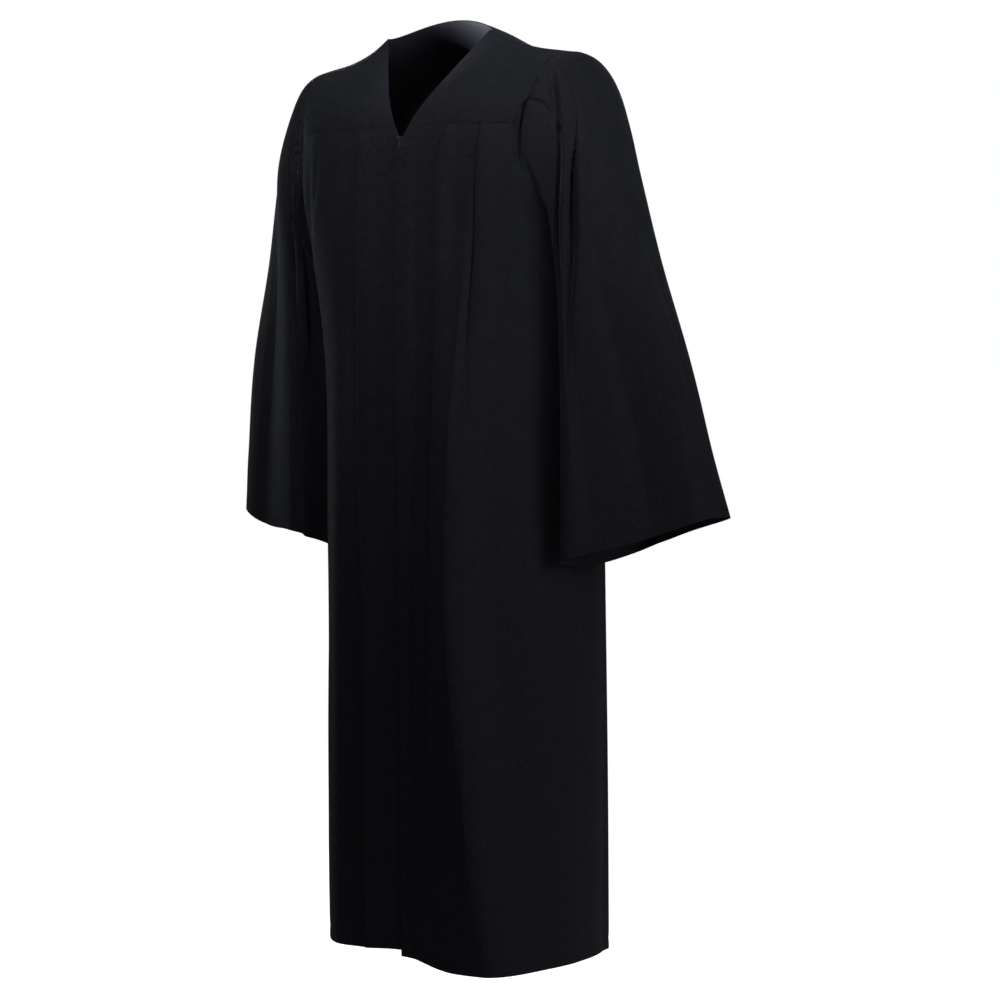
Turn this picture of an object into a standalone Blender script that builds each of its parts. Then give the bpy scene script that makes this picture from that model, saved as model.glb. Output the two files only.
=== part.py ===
"""A long black graduation gown that keeps the form of its wearer: yoke, pleated fronts, fluted back,
wide bell sleeves and a front zip. Metres, +Z up, the front looks towards -Y and the wearer's left is +X.
The origin lies midway between the two points where the neck meets the shoulders."""

import math
from collections import namedtuple

import bmesh
import bpy
import numpy as np
from mathutils import Matrix, Vector

# Cloth
WALL = 0.0015
SEAM_GAP = 0.0003
YOKE_SEAM_GAP = 0.0006
WELD = 1e-6
GOWN_LENGTH = 1.2465
BODY_AXIS = (0.0, 0.04)
SLEEVE_AXIS = (0.26, 0.03)
HOLLOW_TOP = -0.12

# Neck and yoke, as drops below the neck points
NECK_HALF_WIDTH = 0.083
NECK_POINT_FORWARD = -0.020
BACK_NECK_RISE = 0.0235
BACK_NECK_BEHIND = 0.022
V_DEPTH = 0.150
FRONT_YOKE_DROP = 0.131
BACK_YOKE_DROP = 0.135
UNDERARM_DROP = 0.290

# How the front yoke rounds over the chest, at the neck and what the armhole adds: across, forward, height
YOKE_ROUND = (0.000, -0.020, 0.012)
YOKE_ROUND_AT_ARMHOLE = (0.002, -0.004, 0.004)
NECK_EDGE_REACH = 0.75
BACK_SHOULDER_SHARE = 0.6
BACK_SHOULDER_HEIGHT = (0.8, -0.012)

# Front opening
LAP_EDGE = -0.007
LAP_EDGE_AT_HEM = 0.000
LAP_STITCH = 0.010
LAP_HEIGHT = 0.0012
LAP_START_DROP = 0.155

# How far the hem rises at the front opening and at the side seam, by side
HEM_RISE = {1: (0.015, 0.003), -1: (0.023, 0.018)}
HEM_RISE_REACH = 0.09
SIDE_RISE_TURN = 1.1

# Zip: a slider at the bottom of the V, its pull tab hinged on a pin in front of it, and the tapes below
TAPE_WALL = 0.0010
TAPE_HALF_WIDTH = 0.016
TAPE_TOP_DROP = 0.1560
TAPE_LENGTH = 0.660
TAPE_GAP = 0.0006
TAPE_ROWS = 12
TAPE_COLUMNS = 5
SLIDER_TOP_DROP = 0.1435
SLIDER_SIZE = (0.0070, 0.0028, 0.0120)
SLIDER_FRONT = -0.1053
POST_SIZE = (0.0018, 0.0016)
PIN_DROP = 0.1451
PIN_FORWARD = -0.1118
PIN_RADIUS = 0.0005
PIN_LENGTH = 0.0046
EYE_HOLE_RADIUS = 0.0009
EYE_RADIUS = 0.0017
EYE_WIDTH = 0.0011
EYE_OFFSET = 0.0017
PULL_LENGTH = 0.0135
PULL_WIDTH = 0.0034
PULL_THICKNESS = 0.0010
PRONG_LENGTH = 0.0022
CROSSBAR_HEIGHT = 0.0012
JOIN_OVERLAP = 0.0003
ROD_SIDES = 16

BodyRow = namedtuple("BodyRow", "drop half_width front back squareness")
BODY = (
    BodyRow(0.120, 0.197, -0.1045, 0.152, 0.44),
    BodyRow(0.150, 0.198, -0.1085, 0.158, 0.43),
    BodyRow(0.200, 0.199, -0.1100, 0.166, 0.43),
    BodyRow(0.290, 0.196, -0.1120, 0.176, 0.60),
    BodyRow(0.400, 0.191, -0.1130, 0.184, 0.77),
    BodyRow(0.700, 0.188, -0.1110, 0.196, 0.80),
    BodyRow(1.000, 0.188, -0.1090, 0.200, 0.80),
    BodyRow(1.250, 0.188, -0.1080, 0.202, 0.80),
)

ArmholeRow = namedtuple("ArmholeRow", "drop front back")
ARMHOLE = (
    ArmholeRow(0.120, -0.0780, 0.1120),
    ArmholeRow(0.160, -0.0860, 0.1180),
    ArmholeRow(0.200, -0.0780, 0.1130),
    ArmholeRow(0.240, -0.0540, 0.0960),
    ArmholeRow(0.270, -0.0220, 0.0740),
    ArmholeRow(0.290, 0.0330, 0.0350),
)

NeckRow = namedtuple("NeckRow", "drop forward")
NECK_EDGE = (
    NeckRow(0.000, -0.0200),
    NeckRow(0.046, -0.0560),
    NeckRow(0.090, -0.0880),
    NeckRow(0.120, -0.1030),
    NeckRow(0.131, -0.1060),
)

ShoulderRow = namedtuple("ShoulderRow", "across forward height")
SHOULDER = (
    ShoulderRow(0.083, -0.020, 0.000),
    ShoulderRow(0.112, -0.012, -0.014),
    ShoulderRow(0.147, -0.004, -0.025),
    ShoulderRow(0.188, 0.004, -0.032),
)

# Folds of the body that run from the yoke to the hem. A fold stands out by its height, and its two sides
# reach so far across: a pressed pleat has one side of only a few millimetres.
FoldRow = namedtuple("FoldRow", "drop across height inner outer")
LEFT_PLEAT = (
    FoldRow(0.120, 0.066, 0.0015, 0.003, 0.030),
    FoldRow(0.165, 0.053, 0.0030, 0.003, 0.040),
    FoldRow(0.500, 0.050, 0.0035, 0.004, 0.040),
    FoldRow(0.900, 0.048, 0.0020, 0.006, 0.040),
    FoldRow(1.250, 0.048, 0.0010, 0.010, 0.040),
)
LEFT_OUTER_PLEAT = (
    FoldRow(0.120, 0.122, 0.0015, 0.003, 0.040),
    FoldRow(0.200, 0.116, 0.0035, 0.003, 0.045),
    FoldRow(0.420, 0.110, 0.0030, 0.006, 0.045),
    FoldRow(0.600, 0.108, 0.0000, 0.012, 0.045),
    FoldRow(1.250, 0.108, 0.0000, 0.012, 0.045),
)
LEFT_FLUTE = (
    FoldRow(0.120, 0.086, 0.0000, 0.040, 0.050),
    FoldRow(0.300, 0.086, 0.0000, 0.040, 0.050),
    FoldRow(0.500, 0.086, 0.0070, 0.040, 0.050),
    FoldRow(0.700, 0.090, 0.0150, 0.046, 0.056),
    FoldRow(0.900, 0.100, 0.0230, 0.056, 0.062),
    FoldRow(1.250, 0.124, 0.0320, 0.080, 0.070),
)
RIGHT_PLEAT = (
    FoldRow(0.120, 0.078, 0.0010, 0.003, 0.040),
    FoldRow(0.165, 0.078, 0.0025, 0.003, 0.045),
    FoldRow(0.500, 0.078, 0.0035, 0.004, 0.045),
    FoldRow(0.900, 0.074, 0.0040, 0.006, 0.045),
    FoldRow(1.250, 0.070, 0.0050, 0.012, 0.045),
)
RIGHT_FLUTE = (
    FoldRow(0.120, 0.118, 0.0000, 0.030, 0.040),
    FoldRow(0.400, 0.116, 0.0010, 0.030, 0.040),
    FoldRow(0.700, 0.112, 0.0050, 0.032, 0.046),
    FoldRow(1.250, 0.110, 0.0090, 0.036, 0.056),
)
FRONT_FOLDS = {
    1: (LEFT_PLEAT, LEFT_OUTER_PLEAT, LEFT_FLUTE),
    -1: (RIGHT_PLEAT, RIGHT_FLUTE),
}

BACK_FLUTES = 9
BACK_FLUTE_TOP = 0.0035
BACK_FLUTE_HEM = 0.0120

# Lines that run down the sleeve, from the armhole at 0 to the cuff at 1
LineRow = namedtuple("LineRow", "share across forward height")
SLEEVE_OUTER_FRONT = (
    LineRow(0.00, 0.188, -0.022, -0.042),
    LineRow(0.06, 0.211, -0.010, -0.045),
    LineRow(0.13, 0.229, -0.002, -0.074),
    LineRow(0.21, 0.250, -0.006, -0.121),
    LineRow(0.32, 0.277, -0.004, -0.190),
    LineRow(0.48, 0.307, 0.006, -0.300),
    LineRow(0.66, 0.347, 0.023, -0.428),
    LineRow(0.86, 0.373, 0.036, -0.563),
    LineRow(1.00, 0.384, 0.044, -0.644),
)
SLEEVE_OUTER_BACK = (
    LineRow(0.00, 0.188, 0.032, -0.042),
    LineRow(0.06, 0.213, 0.034, -0.046),
    LineRow(0.13, 0.235, 0.035, -0.072),
    LineRow(0.21, 0.256, 0.033, -0.120),
    LineRow(0.32, 0.277, 0.036, -0.190),
    LineRow(0.48, 0.306, 0.042, -0.300),
    LineRow(0.66, 0.345, 0.051, -0.428),
    LineRow(0.86, 0.370, 0.074, -0.563),
    LineRow(1.00, 0.385, 0.094, -0.645),
)
SLEEVE_FRONT_FACE = (
    LineRow(0.00, 0.187, -0.058, -0.088),
    LineRow(0.08, 0.210, -0.058, -0.105),
    LineRow(0.20, 0.236, -0.062, -0.165),
    LineRow(0.40, 0.252, -0.048, -0.285),
    LineRow(0.60, 0.272, -0.030, -0.404),
    LineRow(0.80, 0.290, -0.014, -0.543),
    LineRow(1.00, 0.305, 0.000, -0.673),
)
SLEEVE_FRONT = (
    LineRow(0.00, 0.186, -0.086, -0.160),
    LineRow(0.12, 0.203, -0.078, -0.215),
    LineRow(0.28, 0.207, -0.060, -0.300),
    LineRow(0.50, 0.211, -0.053, -0.419),
    LineRow(0.75, 0.212, -0.050, -0.568),
    LineRow(1.00, 0.208, -0.044, -0.703),
)
SLEEVE_UNDER = (
    LineRow(0.00, 0.196, 0.034, -0.290),
    LineRow(0.12, 0.206, 0.034, -0.318),
    LineRow(0.28, 0.208, 0.034, -0.375),
    LineRow(0.50, 0.209, 0.034, -0.469),
    LineRow(0.75, 0.210, 0.034, -0.588),
    LineRow(1.00, 0.212, 0.034, -0.709),
)
SLEEVE_BACK = (
    LineRow(0.00, 0.190, 0.118, -0.160),
    LineRow(0.12, 0.213, 0.122, -0.215),
    LineRow(0.28, 0.221, 0.124, -0.300),
    LineRow(0.50, 0.226, 0.122, -0.424),
    LineRow(0.75, 0.228, 0.118, -0.570),
    LineRow(1.00, 0.226, 0.112, -0.698),
)
SLEEVE_BACK_FACE = (
    LineRow(0.00, 0.188, 0.080, -0.078),
    LineRow(0.08, 0.216, 0.082, -0.098),
    LineRow(0.20, 0.240, 0.086, -0.165),
    LineRow(0.40, 0.262, 0.090, -0.285),
    LineRow(0.60, 0.288, 0.096, -0.409),
    LineRow(0.80, 0.306, 0.100, -0.539),
    LineRow(1.00, 0.320, 0.102, -0.665),
)

SLEEVE_LINES = (
    SLEEVE_OUTER_FRONT,
    SLEEVE_FRONT_FACE,
    SLEEVE_FRONT,
    SLEEVE_UNDER,
    SLEEVE_BACK,
    SLEEVE_BACK_FACE,
    SLEEVE_OUTER_BACK,
)

# On the wearer's right sleeve the inner front of the cuff hangs higher
RIGHT_CUFF_LIFT = 0.024
RIGHT_CUFF_LIFT_REACH = 0.15

# Folds of the sleeve head: where they start round the armhole as a share of the ring from the shoulder
# through the front, how far down the sleeve they fade, how deep and how wide they are
SleeveFold = namedtuple("SleeveFold", "around fades depth width")
SLEEVE_FOLDS = (
    SleeveFold(0.050, 0.30, 0.0045, 0.016),
    SleeveFold(0.115, 0.50, 0.0055, 0.016),
    SleeveFold(0.185, 0.62, 0.0060, 0.018),
    SleeveFold(0.840, 0.62, 0.0060, 0.018),
    SleeveFold(0.905, 0.50, 0.0055, 0.016),
    SleeveFold(0.960, 0.30, 0.0045, 0.016),
)

# How finely each piece is built: drops of the rows down to the underarm, and places across the fronts
FRONT_DROPS = (
    0.135, 0.141, 0.146, 0.150, 0.155, 0.167, 0.182, 0.200, 0.220, 0.240, 0.257, 0.271, 0.282, 0.290,
)
BACK_DROPS = tuple(drop for drop in FRONT_DROPS if drop > BACK_YOKE_DROP + 0.002)
LOWER_ROWS = 10
FRONT_COLUMNS = {
    1: (0.009, 0.012, 0.030, 0.046, 0.050, 0.054, 0.070, 0.085, 0.100, 0.112, 0.117, 0.126, 0.142),
    -1: (0.012, 0.030, 0.050, 0.070, 0.074, 0.078, 0.082, 0.100, 0.118, 0.136),
}
LEAST_COLUMN = 0.0004
SIDE_COLUMNS = 7
SHOULDER_COLUMNS = 9
NECK_COLUMNS = 7
YOKE_SHARES = (0.0, 0.06, 0.20, 0.36, 0.52, 0.68, 0.84, 1.0)
SLEEVE_SHARES = (0.0, 0.03, 0.07, 0.13, 0.20, 0.29, 0.39, 0.50, 0.62, 0.74, 0.87, 1.0)

CLOTH_BLACK = (0.010, 0.010, 0.013, 1.0)
TAPE_BLACK = (0.012, 0.012, 0.014, 1.0)
METAL_GREY = (0.35, 0.35, 0.38, 1.0)


def along(rows, places):
    """The rows' other columns at these places, on a smooth curve through all the rows."""
    table = np.array([tuple(row) for row in rows], float)
    knots, values = table[:, 0], table[:, 1:]
    places = np.clip(np.asarray(places, float), knots[0], knots[-1])
    slopes = np.gradient(values, knots, axis=0)
    before = np.clip(np.searchsorted(knots, places, side="right") - 1, 0, len(knots) - 2)
    width = (knots[before + 1] - knots[before])[..., None]
    t = (places[..., None] - knots[before][..., None]) / width
    start, end = values[before], values[before + 1]
    leave, arrive = slopes[before] * width, slopes[before + 1] * width
    return (
        start * (2 * t**3 - 3 * t**2 + 1)
        + leave * (t**3 - 2 * t**2 + t)
        + end * (3 * t**2 - 2 * t**3)
        + arrive * (t**3 - t**2)
    )


def smooth(low, high, value):
    """0 below low, 1 above high, and a soft step between."""
    t = np.clip((value - low) / (high - low), 0.0, 1.0)
    return t * t * (3.0 - 2.0 * t)


def power(value, exponent):
    return np.sign(value) * np.abs(value) ** exponent


def body_point(turn, drop):
    """A point of the body without folds: turn 0 is the front, a quarter turn the wearer's left side."""
    half_width, front, back, squareness = np.moveaxis(along(BODY, drop), -1, 0)
    middle, half_depth = (front + back) / 2, (back - front) / 2
    x = half_width * power(np.sin(turn), squareness)
    y = middle - half_depth * power(np.cos(turn), squareness)
    return np.stack(np.broadcast_arrays(x, y, -drop), axis=-1)


def turn_across(across, drop):
    """The turn at which the front of the body is so far across from its middle."""
    half_width, _, _, squareness = np.moveaxis(along(BODY, drop), -1, 0)
    return np.arcsin(power(np.clip(across / half_width, -1, 1), 1 / squareness))


def turn_forward(forward, drop):
    """The turn, on the wearer's left, at which the body has this Y."""
    _, front, back, squareness = np.moveaxis(along(BODY, drop), -1, 0)
    middle, half_depth = (front + back) / 2, (back - front) / 2
    return np.arccos(power(np.clip((middle - forward) / half_depth, -1, 1), 1 / squareness))


def side_turn(drop, behind):
    """The turn of the armhole's edge, or of the side seam under it, on the front or the back."""
    column = 1 if behind else 0
    seam = along(ARMHOLE, drop)[..., column]
    return turn_forward(seam, np.minimum(drop, UNDERARM_DROP))


def fold_height(rows, across, drop):
    """How far a fold stands out here."""
    middle, height, inner, outer = np.moveaxis(along(rows, drop), -1, 0)
    reach = np.where(across < middle, (middle - across) / inner, (across - middle) / outer)
    return height * (1 - smooth(0.0, 1.0, reach))


def front_relief(across, drop, side):
    relief = sum(fold_height(rows, across * side, drop) for rows in FRONT_FOLDS[side])
    if side > 0:
        lap = smooth(LAP_STITCH + 0.002, LAP_STITCH - 0.001, across) * smooth(V_DEPTH, LAP_START_DROP, drop)
        relief = relief + LAP_HEIGHT * lap
    return relief


def back_relief(turn, drop):
    """Flutes that open from the back yoke's gathers towards the hem, and fade at the side seams."""
    share = (np.abs(turn) - math.pi / 2) / (math.pi / 2)
    height = BACK_FLUTE_TOP + (BACK_FLUTE_HEM - BACK_FLUTE_TOP) * smooth(0.2, 1.2, drop)
    wave = 0.5 + 0.5 * np.cos(BACK_FLUTES * 2 * (math.pi - np.abs(turn)) + 0.5 * np.sin(3 * turn))
    return height * wave * smooth(0.15, 0.65, share) * smooth(BACK_YOKE_DROP - 0.01, 0.25, drop)


def outward(turn, drop):
    """The direction that faces out of the body, level with the ground."""
    step = 1e-4
    ahead = body_point(turn + step, drop) - body_point(turn - step, drop)
    normal = np.stack([-ahead[..., 1], ahead[..., 0], 0 * ahead[..., 0]], axis=-1)
    return -normal / np.maximum(np.linalg.norm(normal, axis=-1, keepdims=True), 1e-12)


def front_hem(across, side):
    """The hem rises towards the front opening, and on the wearer's right towards the side seam too."""
    at_opening, at_side = HEM_RISE[side]
    return GOWN_LENGTH - at_opening + (at_opening - at_side) * smooth(0.0, HEM_RISE_REACH, np.abs(across))


def back_hem(turns):
    """The back's hem starts level with the fronts' at each side seam and drops behind them."""
    from_side = np.where(turns < math.pi, turns, 2 * math.pi - turns) - math.pi / 2
    at_side = np.where(turns < math.pi, HEM_RISE[1][1], HEM_RISE[-1][1])
    return GOWN_LENGTH - at_side * (1 - smooth(0.0, SIDE_RISE_TURN, from_side))


def stretched(drop, hem):
    """The drop of a row on a panel whose hem hangs at its own drop."""
    share = np.clip((drop - UNDERARM_DROP) / (GOWN_LENGTH - UNDERARM_DROP), 0, 1)
    return drop + share * (hem - GOWN_LENGTH)


def front_edge(drop, side):
    """Where the panel's inner edge lies: on the V, then at the edge of the lap."""
    on_v = np.maximum(NECK_HALF_WIDTH * (1 - drop / V_DEPTH), 0.0)
    lap = np.interp(drop, (V_DEPTH, GOWN_LENGTH), (LAP_EDGE, LAP_EDGE_AT_HEM))
    lap = lap * smooth(V_DEPTH, LAP_START_DROP, drop)
    return on_v + lap if side > 0 else -on_v + lap - SEAM_GAP


def panel_drops(yoke_drop, upper_drops):
    """The rows of a panel, from just under its yoke seam down to the hem."""
    top = [yoke_drop + YOKE_SEAM_GAP, *upper_drops]
    return np.array(top + list(np.linspace(UNDERARM_DROP, GOWN_LENGTH, LOWER_ROWS + 1)[1:]))


def front_grid(side):
    grid = []
    for drop in panel_drops(FRONT_YOKE_DROP, FRONT_DROPS):
        edge = front_edge(drop, side) * side
        columns = enumerate(FRONT_COLUMNS[side], start=1)
        flat = [edge] + [max(place, edge + LEAST_COLUMN * count) for count, place in columns]
        turns = list(turn_across(np.array(flat), drop))
        last = float(side_turn(drop, False))
        turns += list(np.linspace(turns[-1], last, SIDE_COLUMNS + 1)[1:])
        turns = np.array(turns) * side
        across = body_point(turns, drop)[:, 0]
        points = body_point(turns, drop)
        points = points + outward(turns, drop) * front_relief(across, drop, side)[:, None]
        points[:, 2] = -stretched(drop, front_hem(across, side))
        grid.append(points)
    return np.array(grid)


def back_grid():
    grid = []
    for drop in panel_drops(BACK_YOKE_DROP, BACK_DROPS):
        edge = float(side_turn(drop, True)) + SEAM_GAP / BODY[0].half_width
        turns = np.linspace(edge, 2 * math.pi - edge, 6 * BACK_FLUTES + 1)
        points = body_point(turns, drop)
        folded = np.where(turns > math.pi, 2 * math.pi - turns, turns)
        points = points + outward(turns, drop) * back_relief(folded, drop)[:, None]
        points[:, 2] = -stretched(drop, back_hem(turns))
        grid.append(points)
    return np.array(grid)


def shoulder_line(shares):
    """The fold over the shoulder, from the neck to the armhole."""
    across = NECK_HALF_WIDTH + (SHOULDER[-1].across - NECK_HALF_WIDTH) * np.asarray(shares)
    rest = along(SHOULDER, across)
    return np.stack([across, rest[:, 0], rest[:, 1]], axis=-1)


def yoke_front_grid(side):
    """From the front yoke seam, row 0, up to the fold over the shoulder."""
    shares = np.linspace(0, 1, SHOULDER_COLUMNS)
    start = float(turn_across(np.array(front_edge(FRONT_YOKE_DROP, 1)), np.array(FRONT_YOKE_DROP)))
    end = float(side_turn(np.array(FRONT_YOKE_DROP), False))
    bottom = body_point(np.interp(shares, (0, 1), (start, end)), FRONT_YOKE_DROP)
    top = shoulder_line(shares)
    rounding = np.array(YOKE_ROUND) + np.outer(shares, YOKE_ROUND_AT_ARMHOLE)
    near_neck = (1 - smooth(0.0, NECK_EDGE_REACH, shares))[:, None]
    grid = []
    for v in YOKE_SHARES:
        drop = FRONT_YOKE_DROP * (1 - v)
        neck_edge = np.array([NECK_HALF_WIDTH * (1 - drop / V_DEPTH), along(NECK_EDGE, drop)[0], -drop])
        bulge = 4 * v * (1 - v) * np.sqrt(shares[:, None])
        points = bottom * (1 - v) + top * v + rounding * bulge
        grid.append(points + near_neck * (neck_edge - points[0]))
    grid = np.array(grid)
    grid[:, :, 0] *= side
    return grid


def yoke_back_grid():
    """From the back neck and the folds over the shoulders, row 0, down to the back yoke seam."""
    arc = np.linspace(0, math.pi / 2, NECK_COLUMNS)
    neck = np.stack(
        [
            NECK_HALF_WIDTH * np.sin(arc),
            NECK_POINT_FORWARD + (BACK_NECK_BEHIND - NECK_POINT_FORWARD) * np.cos(arc),
            BACK_NECK_RISE * np.cos(arc) ** 2,
        ],
        axis=-1,
    )
    top = np.concatenate([neck, shoulder_line(np.linspace(0, 1, SHOULDER_COLUMNS))[1:]])
    shares = np.linspace(0, 1, len(top))
    edge = float(side_turn(np.array(BACK_YOKE_DROP), True))
    bottom = body_point(math.pi - (math.pi - edge) * shares, BACK_YOKE_DROP)
    height_share, height_step = BACK_SHOULDER_HEIGHT
    corner = top + BACK_SHOULDER_SHARE * (bottom - top)
    corner[:, 1] = bottom[:, 1]
    corner[:, 2] = top[:, 2] * height_share + height_step
    downward = np.array([1 - share for share in reversed(YOKE_SHARES)])[:, None, None]
    half = top * (1 - downward) ** 2 + 2 * downward * (1 - downward) * corner + bottom * downward**2
    mirrored = half[:, :0:-1].copy()
    mirrored[:, :, 0] *= -1
    return np.concatenate([mirrored, half], axis=1)


def armhole_ring():
    """The wearer's left armhole from the shoulder seam through the front, the underarm and the back."""
    front_yoke = yoke_front_grid(1)[::-1, -1]
    front = front_grid(1)[: len(FRONT_DROPS) + 1, -1]
    back = back_grid()[: len(BACK_DROPS) + 1, 0][::-1]
    back_yoke = yoke_back_grid()[:, -1][::-1]
    return np.concatenate([front_yoke, front[1:], back[1:-1], back_yoke])


def sleeve_section(share, around):
    """Points of the sleeve without folds, round one ring, by a closed smooth curve through its lines.
    The place round the ring is 0 on the fold over the shoulder and grows through the front."""
    anchors = np.array([along(rows, share) for rows in SLEEVE_LINES])
    gaps = np.linalg.norm(np.roll(anchors, -1, axis=0) - anchors, axis=1)
    knots = np.concatenate([[0], np.cumsum(gaps)]) / gaps.sum()
    wrapped = np.concatenate([anchors[-2:], anchors, anchors[:3]])
    places = np.concatenate([knots[-3:-1] - 1, knots[:-1], knots[:3] + 1])
    table = [tuple([place, *point]) for place, point in zip(places, wrapped)]
    shoulder = -0.5 * gaps[-1] / gaps.sum()
    return along(table, (around + shoulder + 1e-9) % 1.0)


def ring_shares(ring):
    """How far round the ring each of its points lies, as a share of its length."""
    closed = np.concatenate([ring, ring[:1]])
    lengths = np.linalg.norm(np.diff(closed, axis=0), axis=1)
    return np.concatenate([[0], np.cumsum(lengths)])[:-1] / lengths.sum()


def sleeve_relief(share, around):
    """The folds of the sleeve head, as troughs."""
    relief = 0.0
    for fold in SLEEVE_FOLDS:
        away = np.abs((around - fold.around + 0.5) % 1 - 0.5)
        strength = smooth(0.0, 0.06, share) * (1 - smooth(0.1, fold.fades, share))
        relief = relief - fold.depth * strength * (1 - smooth(0.0, fold.width, away))
    return relief


def sleeve_grid(side):
    ring = armhole_ring()
    around = ring_shares(ring)
    start = sleeve_section(0.0, around)
    grid = []
    for share in SLEEVE_SHARES:
        points = sleeve_section(share, around)
        points = points + (ring - start) * (1 - smooth(0.0, 0.3, share))
        middle = points.mean(axis=0)
        away = points - middle
        away = away / np.linalg.norm(away, axis=1, keepdims=True)
        points = points + away * np.reshape(sleeve_relief(share, around), (-1, 1))
        if share == 0.0:
            points[:, 0] += SEAM_GAP
        if side < 0:
            inner_front = sleeve_section(share, around) - along(SLEEVE_FRONT, share)
            near = 1 - smooth(0.0, RIGHT_CUFF_LIFT_REACH, np.linalg.norm(inner_front, axis=1))
            points[:, 2] += RIGHT_CUFF_LIFT * share**3 * near
        grid.append(points)
    grid = np.array(grid)
    grid = np.concatenate([grid, grid[:, :1]], axis=1)
    grid[:, :, 0] *= side
    return grid


def tape_grid():
    """The closed zip behind the lap, made from the fronts' own points and moved in."""
    acrosses = np.linspace(-TAPE_HALF_WIDTH, TAPE_HALF_WIDTH, TAPE_COLUMNS)
    grid = []
    for drop in np.linspace(TAPE_TOP_DROP, TAPE_TOP_DROP + TAPE_LENGTH, TAPE_ROWS):
        turns = turn_across(acrosses, drop)
        grid.append(body_point(turns, drop) - outward(turns, drop) * (WALL + TAPE_GAP))
    return np.array(grid)


def material(name, colour, roughness, metallic=0.0):
    made = bpy.data.materials.new(name)
    made.use_nodes = True
    shader = made.node_tree.nodes["Principled BSDF"]
    shader.inputs["Base Color"].default_value = colour
    shader.inputs["Roughness"].default_value = roughness
    shader.inputs["Metallic"].default_value = metallic
    return made


def place_mesh(name, bm, collection, finish):
    mesh = bpy.data.meshes.new(name)
    bm.to_mesh(mesh)
    bm.free()
    mesh.materials.append(finish)
    mesh.shade_smooth()
    obj = bpy.data.objects.new(name, mesh)
    collection.objects.link(obj)
    return obj


def cloth(name, grids, inside, collection, finish, wall=WALL):
    """One wall of cloth over grids of points that share their edges, thickened towards the inside."""
    bm = bmesh.new()
    for grid in grids:
        rows, columns = grid.shape[0] - 1, grid.shape[1] - 1
        flat = bmesh.ops.create_grid(bm, x_segments=columns, y_segments=rows, size=1.0)
        for vert in flat["verts"]:
            column = round((vert.co.x + 1) / 2 * columns)
            row = round((vert.co.y + 1) / 2 * rows)
            vert.co = grid[row, column]
    bmesh.ops.remove_doubles(bm, verts=bm.verts, dist=WELD)
    bmesh.ops.recalc_face_normals(bm, faces=bm.faces)
    facing = sum(face.normal.dot(face.calc_center_median() - inside_point(inside, face)) for face in bm.faces)
    if facing < 0:
        bmesh.ops.reverse_faces(bm, faces=bm.faces)
    obj = place_mesh(name, bm, collection, finish)
    thickness = obj.modifiers.new("cloth wall", "SOLIDIFY")
    thickness.thickness = wall
    thickness.offset = -1.0
    return obj


def inside_point(inside, face):
    """The point of the garment's hollow that a face should look away from."""
    centre = face.calc_center_median()
    return Vector((inside[0], inside[1], min(centre.z, HOLLOW_TOP)))


def block(bm, size, middle):
    """A box of this size round its middle."""
    made = bmesh.ops.create_cube(bm, size=1.0)
    bmesh.ops.scale(bm, vec=Vector(size), verts=made["verts"])
    bmesh.ops.translate(bm, vec=Vector(middle), verts=made["verts"])


def rod(bm, radius, length, middle):
    """A round rod that lies along X."""
    turned = Matrix.Rotation(math.pi / 2, 4, "Y")
    made = bmesh.ops.create_cone(
        bm, cap_ends=True, segments=ROD_SIDES, radius1=radius, radius2=radius, depth=length, matrix=turned
    )
    bmesh.ops.translate(bm, vec=Vector(middle), verts=made["verts"])


def joined(name, shapes, cutters, collection, helpers, finish):
    """One solid from the union of some shapes less some cutters, with its origin on the pull tab's pin.
    Each shape is a function and its arguments, measured from the pin."""
    objects = []
    for number, (make, *arguments) in enumerate([*shapes, *cutters]):
        bm = bmesh.new()
        make(bm, *arguments)
        if number == 0:
            obj = place_mesh(name, bm, collection, finish)
        else:
            obj = place_mesh(f"{name} helper {number}", bm, helpers, finish)
            obj.hide_render = True
            obj.display_type = "WIRE"
        obj.location = (0, PIN_FORWARD, -PIN_DROP)
        objects.append(obj)
    for number, helper in enumerate(objects[1:], start=1):
        step = objects[0].modifiers.new(helper.name, "BOOLEAN")
        step.operation = "UNION" if number < len(shapes) else "DIFFERENCE"
        step.object = helper


def zip_slider(collection, helpers, finish):
    """The slider's body behind the pin, and the post that carries the pin."""
    depth, height = SLIDER_SIZE[1:]
    front = SLIDER_FRONT - PIN_FORWARD
    body_middle = (0, front + depth / 2, PIN_DROP - SLIDER_TOP_DROP - height / 2)
    post_depth = front + depth / 2
    shapes = (
        (block, SLIDER_SIZE, body_middle),
        (block, (POST_SIZE[0], post_depth, POST_SIZE[1]), (0, post_depth / 2, 0)),
        (rod, PIN_RADIUS, PIN_LENGTH, (0, 0, 0)),
    )
    joined("zip_slider", shapes, (), collection, helpers, finish)


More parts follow.
